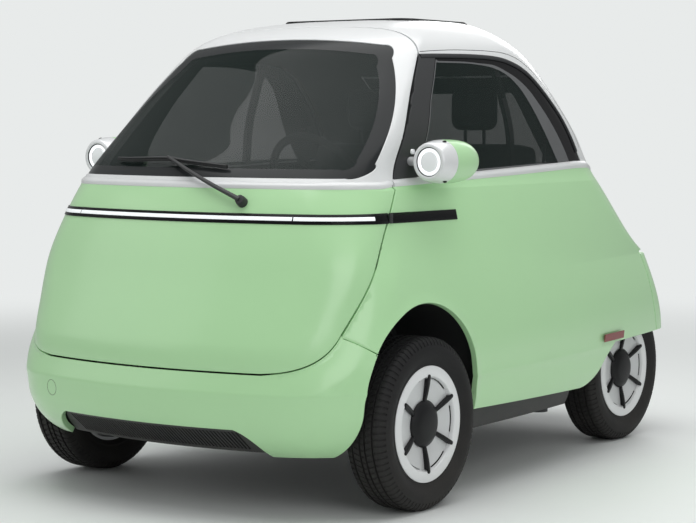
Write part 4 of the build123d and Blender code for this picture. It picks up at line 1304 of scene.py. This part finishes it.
# Across the tyre: radius, offset outward from the middle, and 1 where the sipes cut in.
TREAD = ((165, 50, 0), (170, 54.5, 0), (175, 57, 0), (178, 59.6, 0), (181, 60.6, 0), (184, 60.4, 0),
         (187, 61.6, 0), (196, 66.4, 0), (205, 70.3, 0), (213, 72.2, 0), (222, 72.4, 0), (230, 71.2, 0),
         (236, 69.2, 0), (237, 68.7, 1), (243, 66, 1), (248, 62.6, 1), (252, 59.6, 1), (255.5, 56.2, 1),
         (258.2, 51.5, 1), (259.6, 47, 1), (260.2, 41, 1), (260.2, 39.5, 0), (254.5, 38.5, 0),
         (254.5, 33.5, 0), (260.3, 32.5, 0), (260.4, 31, 1), (260.4, 22, 1), (260.4, 14, 1),
         (260.4, 12.5, 0), (254.5, 11.5, 0), (254.5, 6.5, 0), (260.5, 5.5, 0), (260.5, 4.5, 1))
TREAD_DEPTH = 2.4
TREAD_FLAT = 45                   # the cuts slant within this distance of the middle
SHOULDER = 62                     # beyond it they sink in sideways as well
CUT_EDGES = (0.0, 0.66, 0.72, 0.94)   # of one pitch: a block, then a cut between the last two


def tyre_form():
    """The tyre's section run round, with shoulder blocks and slanted cuts."""
    rows = [(r, -c, cut) for r, c, cut in TREAD[::-1]] + list(TREAD)
    step = 2 * pi / TREAD_PITCHES
    sides = len(CUT_EDGES) * TREAD_PITCHES
    points, faces = [], []
    for r, c, cut in rows:
        flat = abs(c)
        lean = 0.9 * step * (1 - flat / TREAD_FLAT) if flat < TREAD_FLAT else 0.0
        for i in range(sides):
            a = step * (i // 4 + CUT_EDGES[i % 4]) + lean
            deep = TREAD_DEPTH * MM if cut and i % 4 >= 2 else 0.0
            out = r * MM - deep * (1 if flat < SHOULDER else 0.4)
            aside = flat * MM - deep * (0.9 if flat > SHOULDER else 0)
            points.append((out * cos(a), out * sin(a), aside if c > 0 else -aside))
    count = len(rows)
    for k in range(count):
        for i in range(sides):
            j, low, high = (i + 1) % sides, k * sides, (k + 1) % count * sides
            faces.append((low + i, low + j, high + j, high + i))
    return points, faces, 0


# The wheel's face: radius, offset outward, and 0 white ring, 1 silver dish, 2 black slot.
RIM = ((155, -50, 1), (166, -50, 1), (166, -46, 1), (165, -40, 1), (165, 57.3, 1), (173.6, 57.4, 0),
       (174.8, 58.4, 0), (174.9, 59.8, 0), (173.8, 61, 0), (170, 61.8, 0), (158, 62, 0), (146, 61.8, 0),
       (142.4, 61, 0), (141.2, 59.4, 0), (138.6, 50.6, 2), (138.4, 50.2, 2), (134.2, 49.7, 2),
       (133.8, 49.7, 1), (128, 49.2, 1), (115, 47.7, 1), (100, 46, 1), (86, 44, 1), (73, 42, 1),
       (60, 40.1, 1), (45, 38, 1), (45, 34, 1), (73, 37, 1), (100, 41, 1), (138, 45, 1), (155, 39, 1))
RIM_TURNS = 216
SLOT, SLOT_DEPTH = (13, 47), 5.5  # degrees from a spoke to the slot's ends, and its depth


def rim_form():
    """Barrel, white ring and silver dish, with an arc slot between each two spokes."""
    def slotted(i):
        return SLOT[0] < (360.0 * i / RIM_TURNS + 30) % 60 < SLOT[1]

    def line(i):
        sunk = slotted(i) and slotted((i + 1) % RIM_TURNS) or slotted(i - 1) and slotted(i)
        return mm((r, c - SLOT_DEPTH if sunk and kind == 2 and 134 < r < 138.5 else c) for r, c, kind in RIM)

    def mark(k, i):
        kind = RIM[k][2]
        return kind if kind != 2 or (slotted(i) and slotted((i + 1) % RIM_TURNS)) else 1
    return turned(line, RIM_TURNS, mark, loop=True)


# The hub and its cap: radius, offset outward.
HUB = ((15.1, -12), (110, -12), (110, -6), (48, -6), (48, 34), (15.1, 34))
CAP = ((45, 38.3), (70, 42.3), (71, 43.6), (71, 46.6), (69.6, 48.6), (60, 54.9), (52, 60.2), (49.6, 61.3),
       (46, 62.6), (34, 64.8), (18, 66.3), (4, 66.7))
# Along a spoke: distance from the axle, underside and top.
SPOKE = ((60, 44, 50), (68, 44, 50.6), (75, 44, 52.4), (90, 46, 56.5), (105, 47.4, 60.2),
         (120, 49.2, 63), (135, 50.6, 65), (139.5, 61.5, 65.4), (143, 61.5, 65.6), (145.5, 61.5, 65.6),
         (147.4, 61.5, 65.2), (148.6, 61.5, 64.6))
SPOKE_HALF = 6.2


def spoke_form():
    """One spoke along X with rounded upper edges and a round tip."""
    points = []
    for r, low, high in SPOKE:
        beyond = max(r - 142.6, 0)
        half = sqrt(max(SPOKE_HALF ** 2 - beyond ** 2, 0.8))
        edge = min(half, 2.2)
        side = ((half, low), (half, high - edge), (half - 0.3 * edge, high - 0.3 * edge), (half - edge, high))
        points += mm((r, -a, c) for a, c in side) + mm((r, a, c) for a, c in side[::-1])
    m = 8
    faces = [(k * m + i, k * m + (i + 1) % m, (k + 1) * m + (i + 1) % m, (k + 1) * m + i)
             for k in range(len(SPOKE) - 1) for i in range(m)]
    faces += [tuple(range(m)), tuple(range((len(SPOKE) - 1) * m, len(SPOKE) * m))]
    return points, faces, 0


WHEELS = (("front_left", 627.5, -731.5), ("front_right", -627.5, -731.5),
          ("rear_left", 452.5, 831.5), ("rear_right", -452.5, 831.5))
AXLE_Z = 260.5


class MICROCAR_OT_wheels(bpy.types.Operator):
    """Builds each wheel's tyre, ring and dish, and its black cap with six spokes"""
    bl_idname = "microcar.wheels"
    bl_label = "Wheels"

    def execute(self, context):
        tyre, rim = tyre_form(), rim_form()
        hub, cap = turned(mm(HUB), 96, 3, loop=True), turned(mm(CAP), 96)
        spokes = [placed(spoke_form(), Matrix.Rotation(radians(60 * i + 30), 4, "Z")) for i in range(6)]
        for name, x, y in WHEELS:
            way = 1 if x > 0 else -1
            spot = Matrix(((0, 0, way, x * MM), (way, 0, 0, y * MM), (0, 1, 0, AXLE_Z * MM), (0, 0, 0, 1)))
            for piece, forms, finishes, cad, slot in (
                    ("tyre_tread", [tyre], ["Tyre rubber"], "tyre", "tyre"),
                    ("wheel_face", [rim, hub],
                     ["Wheel white", "Wheel silver", "Gloss black", "Plain steel"], "rim", "wheel_white"),
                    ("spoke_cap", [cap, *spokes], ["Satin black"], "star", "black_trim")):
                obj = solid(f"{name}_{piece}", [placed(form, spot) for form in forms], finishes, 30)
                settle(obj, f"{name}_wheel", slot, f"{name}_{cad}")
        return {"FINISHED"}


# The pods: the centre of the front rim, then radius and distance behind it, for the lens with its finish.
LAMP = (664.0, -703.0, 1039.0)
SHELL = ((43.6, 14), (43.6, 3.5), (44.6, 1.2), (47, 0.2), (51, 0.6), (54.5, 2.6), (57, 6), (58.6, 11),
         (61, 22), (63.4, 34), (65, 45), (65.7, 56), (65.9, 64.6), (65.2, 65.6), (60, 65.6), (40, 60))
SHELL_CAP = ((40, 66.6), (65.2, 66.6), (65.9, 67.6), (66.2, 95), (65.6, 125), (64, 150), (61, 172),
             (56.5, 190), (50, 205), (41, 217), (30, 226), (17, 232), (1, 234.5))
LENS_RINGS = ((43.4, 13.5, 0), (43.4, 3.2, 0), (42.4, 3.2, 0), (41.8, 6, 0), (41.2, 6, 1), (39, 4.2, 1),
              (35, 3.6, 1), (31, 4.4, 1), (29.6, 6.4, 0), (29, 6.4, 2), (27, 4.2, 2), (22, 3, 2),
              (13, 1.8, 2), (1, 1.4, 2))


class MICROCAR_OT_lamps(bpy.types.Operator):
    """Builds the lamp pods, each with a lit ring, a silver shell, a painted cap and a foot"""
    bl_idname = "microcar.lamps"
    bl_label = "Lamp pods"

    def execute(self, context):
        x, y, z = (value * MM for value in LAMP)
        spot = Matrix(((1, 0, 0, x), (0, 0, 1, y), (0, 1, 0, z), (0, 0, 0, 1)))

        def part(outline, mark=0):
            return placed(turned(mm(row[:2] for row in outline), 96, mark), spot)
        foot = tube([(x - 0.1, y + 0.062, z), (x - 0.075, y + 0.05, z), (x - 0.05, y + 0.044, z)],
                    [0.018, 0.017, 0.02], 24, 0, squash=0.8)
        knob = tube([(x - 0.062, y + 0.006, z + 0.03), (x - 0.056, y + 0.006, z + 0.03)], 0.008, 20)
        slits = []
        for turn in (66, -64):
            a = radians(turn)
            r = 0.0653
            run = [(x + r * cos(a), y + back, z + r * sin(a)) for back in (0.0400, 0.0456, 0.0528, 0.0576)]
            slits.append(tube(run, [0.0018, 0.0042, 0.0042, 0.0018], 12, 1))
        obj = solid("pod_shells", pair(part(SHELL), foot, knob, *slits), ["Silver paint", "Satin black"])
        settle(obj, "body", "silver", "lamp_shells")
        settle(solid("pod_caps", pair(part(SHELL_CAP)), ["Mint paint"]), "body", "body_paint", "lamp_caps")
        rings = part(LENS_RINGS, lambda k, i: LENS_RINGS[k][2])
        obj = solid("pod_lenses", pair(rings), ["Satin black", "Lamp glow", "Frosted lens"])
        settle(obj, "body", "lens", "lamp_lenses")
        return {"FINISHED"}


BAR_Z = 874.0
BAR = ((-15.5, -8), (-16, 1.6), (-14.6, 3), (14.6, 3), (16, 1.6), (15.5, -8))
STRIP = ((-6, 0), (-6, 3.3), (-5, 4), (5, 4), (6, 3.3), (6, 0))


def bar_u(y):
    return u_at(LOWER, y, BAR_Z)


class MICROCAR_OT_light_bars(bpy.types.Operator):
    """Builds the black bars round the waist, the lit strip in front and the red one behind"""
    bl_idname = "microcar.light_bars"
    bl_label = "Light bars"

    def execute(self, context):
        gap = LOWER.front([(415, BAR_Z), (419, BAR_Z)])[:, 0]
        tail = LOWER.front([(HATCH_X, BAR_Z)], rear=True)[0, 0]
        for name, start, end, profile, finish, body, slot, cad in (
                ("door_bar", 0, bar_u(-821), BAR, "Gloss black", "front_door", "black_trim", "door_bar_trim"),
                ("lit_strip_middle", 0, gap[0], STRIP, "Lit strip", "front_door", "light_strip",
                 "door_bar_strip"),
                ("lit_strip_ends", gap[1], bar_u(-882), STRIP, "Lit strip", "front_door", "light_strip",
                 "door_bar_strip"),
                ("side_bar_pieces", bar_u(-812), bar_u(-473), BAR, "Gloss black", "body", "black_trim",
                 "side_bars"),
                ("tail_bar", tail, TAIL_U, BAR, "Red lamp", "rear_hatch", "red_lamp", "rear_light_bar")):
            path = LOWER.ring_path(BAR_Z, start, end, 0.012)
            settle(ribbon(name, LOWER, path, mm(profile), [finish]), body, slot, cad)
        return {"FINISHED"}


# The stuffed pieces: name, node, centre, size, corner radius, lean in degrees, swelling factor, voxel.
STUFFED = (
    ("bench_cushion", "seat_cushion", (0, -172, 460), (928, 483, 108), 46, 0, 0.8, 9),
    ("bench_back", "seat_back", (0, 206, 807), (928, 88, 578), 42, -15, 0.8, 9),
    ("head_pad_left", "head_restraints", (222, 258, 1201), (174, 70, 146), 34, 0, 0.55, 5),
    ("head_pad_right", "head_restraints", (-222, 258, 1201), (174, 70, 146), 34, 0, 0.55, 5),
)


def channel(distance, width, depth):
    """How far a sewn channel pulls the cover in, at a distance from its line."""
    return depth * np.exp(-(distance / width) ** 2)


def sewn(name, p):
    """The pull of all of a piece's seams at its own points, which are in metres from its centre."""
    x, y, z = np.abs(p[:, 0]), p[:, 1], p[:, 2]
    if name.startswith("head"):
        past = [np.maximum(a - edge, 0) for a, edge in zip((x, np.abs(z)), HEAD_PLATE)]
        ring = np.abs(np.hypot(*past) - HEAD_RING)
        return channel(ring, *PIPING) * (y < 0) + channel(np.abs(y), *PIPING)
    back = name == "bench_back"
    seams, along, shown = (BACK_SEAMS, z, y < 0) if back else (CUSHION_SEAMS, y, z > 0)
    pull = channel(x, 0.008, 0.010) + channel(np.abs(x - SEAM_X), SEAM_WIDTH, SEAM_DEPTH)
    for place in seams:
        pull += channel(along - place, SEAM_WIDTH, SEAM_DEPTH) * (x < SEAM_X) * shown
    return pull


PRESSURE, CLOTH_FRAMES = 4, 20
SEAM_X, SEAM_WIDTH, SEAM_DEPTH = 0.385, 0.005, 0.005   # the seams along the bench's sides and across it
BACK_SEAMS, CUSHION_SEAMS = (-0.14, 0.02, 0.17), (-0.12, 0.0, 0.12)
HEAD_PLATE, HEAD_RING, PIPING = (0.030, 0.024), 0.030, (0.004, 0.003)


def read(mesh, key):
    """A vector of each vertex, as rows."""
    out = np.empty(len(mesh.vertices) * 3)
    mesh.vertices.foreach_get(key, out)
    return out.reshape(-1, 3)


def stuffed(name, size, corner, swell, voxel):
    """A padded piece about its own centre: remeshed, blown up as cloth, its movement capped, then sewn."""
    obj = solid(name, [brick([v * MM for v in size], corner * MM, count=10)], ["Bench cloth"])
    remesh = obj.modifiers.new("remesh", "REMESH")
    remesh.mode, remesh.voxel_size = "VOXEL", voxel * MM
    graph = bpy.context.evaluated_depsgraph_get()
    mesh = bpy.data.meshes.new_from_object(obj.evaluated_get(graph))
    obj.modifiers.clear()
    obj.data = mesh
    rest, normals = read(mesh, "co"), read(mesh, "normal")
    settings = obj.modifiers.new("cloth", "CLOTH").settings
    settings.use_pressure = True
    settings.uniform_pressure_force = PRESSURE
    settings.effector_weights.gravity = 0
    settings.quality = 4
    scene = bpy.context.scene
    for frame_number in range(CLOTH_FRAMES):
        scene.frame_set(frame_number + 1)
    blown = read(obj.evaluated_get(bpy.context.evaluated_depsgraph_get()).data, "co")
    obj.modifiers.clear()
    scene.frame_set(1)
    move = blown - rest
    length = np.linalg.norm(move, axis=1, keepdims=True)
    shape = rest + move * np.minimum(1, swell / np.maximum(length, 1e-9))
    shape = shape - normals * sewn(name, rest)[:, None]
    mesh.vertices.foreach_set("co", shape.ravel())
    mesh.polygons.foreach_set("use_smooth", [True] * len(mesh.polygons))
    mesh.update()
    return obj


class MICROCAR_OT_seats(bpy.types.Operator):
    """Makes the padded bench and its head restraints, and hangs the seat belts"""
    bl_idname = "microcar.seats"
    bl_label = "Seats"

    def execute(self, context):
        b = context.scene.microcar_body
        for name, cad, centre, size, corner, lean, factor, voxel in STUFFED:
            obj = stuffed(name, size, corner, b.stuffing * factor, voxel)
            turn = Matrix.Rotation(radians(lean), 4, "X")
            obj.data.transform(Matrix.Translation([v * MM for v in centre]) @ turn)
            settle(obj, "body", "upholstery", cad)
        strap = [(505, 268, 1128), (507, 262, 1108), (508, 215, 900), (508, 150, 680), (506, 95, 440)]
        webbing = tube(smooth(strap) * MM, 0.023, 12, 0, squash=0.05, side=(1, 0, 0))
        guide = tube([(0.500, 0.262, 1.118), (0.530, 0.262, 1.118)], 0.017, 16, 1)
        anchor = placed(brick((0.028, 0.05, 0.06), 0.008, 1, 4), Matrix.Translation((0.506, 0.095, 0.43)))
        stalk = tube([(0.035, 0.02, 0.50), (0.035, 0.0, 0.545)], 0.009, 12, 1)
        buckle = placed(brick((0.042, 0.022, 0.07), 0.006, 1, 4), Matrix.Translation((0.035, -0.01, 0.575)))
        button = placed(brick((0.026, 0.008, 0.016), 0.003, 2, 3), Matrix.Translation((0.035, -0.019, 0.603)))
        obj = solid("seat_belts", pair(webbing, guide, anchor, stalk, buckle, button),
                    ["Belt webbing", "Satin black", "Red lamp"])
        settle(obj, "body", "black_trim")
        return {"FINISHED"}


HUB_AT = (0.225, -0.660, 0.973)
COLUMN_TILT = radians(30)
TOW_COVER, TOW_COVER_R = (385, 339), 24
RIM_R = 0.160
HORN_PAD = ((20, -30), (44, -28), (47, -22), (47, -6), (42, 2), (25, 5), (2, 6))
WHEEL_SPOKE = ((30, -10), (70, -12), (110, -8), (156, 0))      # from the axis: distance, height
WIPER_ARM = ((242, 919, 22), (200, 934, 23), (130, 958, 24), (40, 988, 22), (-60, 1022, 17), (-115, 1040, 13))
WIPER_BLADE = ((135, 1018, 6), (60, 1024, 6), (-30, 1031, 6), (-115, 1038, 6), (-200, 1037, 6),
               (-290, 1035, 6), (-350, 1036, 6))


def on_nose(points):
    """Points in space from (x, z, height above the skin) on the nose, in millimetres, on both sides."""
    out = []
    for x, z, rise in points:
        skin = UPPER if z > BELT else LOWER
        u, v = skin.front([(abs(x), z)])[0]
        p, n, _, _ = skin.frames([u], [v])
        q = p[0] + n[0] * rise * MM
        out.append((q[0] if x >= 0 else -q[0], q[1], q[2]))
    return np.array(out)


class MICROCAR_OT_controls(bpy.types.Operator):
    """Builds the steering wheel and its stalks, the wiper, and the towing cover's line in painted shade"""
    bl_idname = "microcar.controls"
    bl_label = "Controls"

    def execute(self, context):
        c, t = cos(COLUMN_TILT), sin(COLUMN_TILT)
        spot = Matrix(((1, 0, 0, HUB_AT[0]), (0, -t, c, HUB_AT[1]), (0, c, t, HUB_AT[2]), (0, 0, 0, 1)))
        turns = 2 * pi * np.arange(96) / 96
        ring = [(RIM_R * cos(a), RIM_R * sin(a) * (1 if sin(a) > -0.85 else 0.97), 0) for a in turns]
        grip = tube(ring, [0.0135 + 0.0012 * cos(4 * a) for a in turns], 16, 0, closed=True)
        parts = [grip, turned(mm(HORN_PAD), 48, 1)]
        for angle in (0, 180, 270):
            a = radians(angle)
            run = [(r * cos(a), r * sin(a), h) for r, h in mm(WHEEL_SPOKE)]
            parts.append(tube(run, (0.024, 0.019, 0.015, 0.012), 16, 1, squash=0.35))
        parts.append(tube([(0, 0, -0.084), (0, 0, -0.02)], 0.014, 24, 2))
        obj = solid("steering_wheel_rim", [placed(part, spot) for part in parts],
                    ["Soft-touch black", "Satin black", "Plain steel"])
        settle(obj, "driver_wheel", "black_trim", "steering_wheel")
        stalks = [tube([(s * 0.03, 0, -0.075), (s * 0.10, 0.012, -0.070), (s * 0.135, 0.016, -0.066)],
                       (0.006, 0.007, 0.008), 12) for s in (-1, 1)]
        obj = solid("column_stalks", [placed(part, spot) for part in stalks], ["Satin black"])
        settle(obj, "body", "black_trim")
        arm = tube(smooth(on_nose(WIPER_ARM), 8), np.linspace(0.0105, 0.0062, 41), 12, 0, squash=0.7)
        blade = smooth(on_nose(WIPER_BLADE), 8)
        rubber = tube(blade - (0, 0.001, 0), 0.0045, 8, 0, squash=1.4)
        thick = np.interp(np.linspace(0, 1, len(blade)), (0, 0.08, 0.5, 0.92, 1),
                          (0.002, 0.005, 0.0075, 0.005, 0.002))
        spine = tube(blade + np.array((0, -0.005, 0.004)), thick, 10, 0, squash=0.6)
        foot = on_nose(((242, 919, 0), (242, 919, 26)))
        cap = tube([foot[0], foot[0] * 0.4 + foot[1] * 0.6, foot[1] * 0.95 + foot[0] * 0.05, foot[1]],
                   (0.0165, 0.016, 0.014, 0.008), 24)
        obj = solid("wiper_arm_and_blade", [arm, rubber, spine, cap], ["Grained black"])
        settle(obj, "front_door", "black_trim", "wiper")
        turns = 2 * pi * np.arange(48) / 48
        x, z = TOW_COVER
        ring = LOWER.front([(x + TOW_COVER_R * cos(a), z + TOW_COVER_R * sin(a)) for a in turns])
        ring[:, 0] *= -1
        # The towing cover's shut line is a thin strip in the darkened body colour: painted shade where the
        # gap lies
        cover = ribbon("tow_cover_line", LOWER, ring, mm(GROOVE), ["Mint painted shade"], closed=True,
                       mirror=False)
        settle(cover, "body", "body_paint")
        return {"FINISHED"}


CAD_FINISH = {
    "Grained black": ("grille", "rear_valance", "floor_tub", "arch_liners", "battery", "door_lining",
                      "steering_column", "window_bars"),
    "Gloss black": ("sunroof",),
    "Red lamp": ("side_reflectors",),
    "Plain steel": ("head_posts", "front_suspension", "rear_suspension", "knuckle_left",
                    "knuckle_right"),
    "Cast metal": ("motor",),
    "Soft-touch black": ("jack_pads", "door_hinge_leaf", "door_hinge_pin"),
    "White paint": ("hatch_hinge_leaf", "hatch_hinge_pin"),
}


class MICROCAR_OT_frame_finish(bpy.types.Operator):
    """Gives each part of the frame that stays in view its finish"""
    bl_idname = "microcar.frame_finish"
    bl_label = "Frame finish"

    def execute(self, context):
        for finish, names in CAD_FINISH.items():
            for name in names:
                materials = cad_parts[name].data.materials
                materials.clear()
                materials.append(MATERIALS[finish])
        return {"FINISHED"}


CAMERA_AT = (3.9658, -5.7061, 1.1599)
CAMERA_TURN = (radians(90 - 3.983), radians(-0.071), radians(35.694))
CAMERA_LENS, CAMERA_SENSOR = 104.32, 36.0
BACKDROP = (0.95, 0.975, 0.97, 1)
BACKDROP_STRENGTH = 0.85
FLOOR_HALF = 30
FLOOR_FADE = (2.6, 7.0)           # metres from the car: the floor turns into the backdrop between these


def seen_plainly(tree):
    """1 for what the camera sees straight or through glass, 0 for light and reflections."""
    path = node(tree, "ShaderNodeLightPath")
    return math(tree, "MAXIMUM", path.outputs["Is Camera Ray"], path.outputs["Is Transmission Ray"])


def floor_finish(colour):
    """Pale floor that fades into the backdrop with distance."""
    mat = shade("Floor", colour, 0.55, grain=3, mottle=0.01)
    tree = mat.node_tree
    far = node(tree, "ShaderNodeVectorMath", operation="LENGTH")
    tree.links.new(node(tree, "ShaderNodeNewGeometry").outputs["Position"], far.inputs[0])
    fade = node(tree, "ShaderNodeMapRange", interpolation_type="SMOOTHERSTEP")
    give(fade, From_Min=FLOOR_FADE[0], From_Max=FLOOR_FADE[1])
    tree.links.new(far.outputs["Value"], fade.inputs["Value"])
    glow = node(tree, "ShaderNodeEmission")
    give(glow, Color=BACKDROP, Strength=BACKDROP_STRENGTH)
    mix = node(tree, "ShaderNodeMixShader")
    tree.links.new(math(tree, "MULTIPLY", fade.outputs[0], seen_plainly(tree)), mix.inputs[0])
    tree.links.new(tree.nodes["Principled BSDF"].outputs[0], mix.inputs[1])
    tree.links.new(glow.outputs[0], mix.inputs[2])
    tree.links.new(mix.outputs[0], tree.nodes["Material Output"].inputs["Surface"])
    return mat


class MICROCAR_OT_stage(bpy.types.Operator):
    """Adds the floor, the soft lights and the camera"""
    bl_idname = "microcar.stage"
    bl_label = "Stage"

    def execute(self, context):
        s = context.scene.microcar_stage
        scene = context.scene
        mesh = bpy.data.meshes.new("floor")
        r = FLOOR_HALF
        mesh.from_pydata([(-r, -r, 0), (r, -r, 0), (r, r, 0), (-r, r, 0)], [], [(0, 1, 2, 3)])
        floor = bpy.data.objects.new("floor", mesh)
        scene.collection.objects.link(floor)
        mesh.materials.append(floor_finish(s.floor))
        lamps = (
            # name, place, aim, width, height, power
            ("overhead", (0.3, -0.3, 4.2), (0, 0, 0), 5.0, 4.0, s.key),
            ("front_left", (5.0, -3.4, 2.9), (0, -0.3, 0.6), 3.6, 3.0, s.fill * 1.35),
            ("front_right", (-4.4, -4.6, 2.9), (0, -0.3, 0.7), 4.6, 3.4, s.fill * 0.7),
            ("behind", (-1.5, 5.0, 3.2), (0, 0, 0.8), 3.0, 2.0, s.fill),
        )
        for name, place, aim, width, height, power in lamps:
            light = bpy.data.lights.new(name, "AREA")
            light.shape, light.size, light.size_y, light.energy = "RECTANGLE", width, height, power
            obj = bpy.data.objects.new(name, light)
            obj.location = place
            obj.rotation_euler = (Vector(aim) - Vector(place)).to_track_quat("-Z", "Y").to_euler()
            scene.collection.objects.link(obj)
        world = bpy.data.worlds.new("studio")
        scene.world = world
        world.use_nodes = True
        tree = world.node_tree
        back = tree.nodes["Background"]
        strength = math(tree, "MULTIPLY_ADD", seen_plainly(tree), BACKDROP_STRENGTH - s.world, s.world)
        back.inputs["Color"].default_value = BACKDROP
        tree.links.new(strength, back.inputs["Strength"])
        camera = bpy.data.cameras.new("photo_camera")
        camera.lens, camera.sensor_width, camera.sensor_fit = CAMERA_LENS, CAMERA_SENSOR, "HORIZONTAL"
        eye = bpy.data.objects.new("photo_camera", camera)
        eye.location, eye.rotation_euler = CAMERA_AT, CAMERA_TURN
        scene.collection.objects.link(eye)
        scene.camera = eye
        scene.view_settings.view_transform = "Standard"
        return {"FINISHED"}


class MICROCAR_PT_sidebar(bpy.types.Panel):
    """Lists the sizes, the colours and the steps"""
    bl_idname = "MICROCAR_PT_sidebar"
    bl_label = "Microcar"
    bl_space_type = "VIEW_3D"
    bl_region_type = "UI"
    bl_category = "Microcar"

    def draw(self, context):
        for group_name in PROPERTIES:
            values = getattr(context.scene, group_name)
            box = self.layout.box()
            for key in values.__annotations__:
                box.prop(values, key)
        for operator in STEPS:
            self.layout.operator(operator.bl_idname)


PROPERTIES = {"microcar_paint": MicrocarPaint, "microcar_body": MicrocarBody, "microcar_stage": MicrocarStage}
STEPS = (MICROCAR_OT_finishes, MICROCAR_OT_frame_finish, MICROCAR_OT_panels, MICROCAR_OT_glazing,
         MICROCAR_OT_wheels, MICROCAR_OT_lamps, MICROCAR_OT_light_bars, MICROCAR_OT_seats,
         MICROCAR_OT_controls, MICROCAR_OT_stage)
CLASSES = (*PROPERTIES.values(), *STEPS, MICROCAR_PT_sidebar)


def register():
    for cls in CLASSES:
        bpy.utils.register_class(cls)
    for name, cls in PROPERTIES.items():
        setattr(bpy.types.Scene, name, PointerProperty(type=cls))


def unregister():
    for name in PROPERTIES:
        delattr(bpy.types.Scene, name)
    for cls in reversed(CLASSES):
        bpy.utils.unregister_class(cls)


def main():
    register()
    for step in STEPS:
        family, name = step.bl_idname.split(".")
        getattr(getattr(bpy.ops, family), name)()


if __name__ == "__main__":
    main()
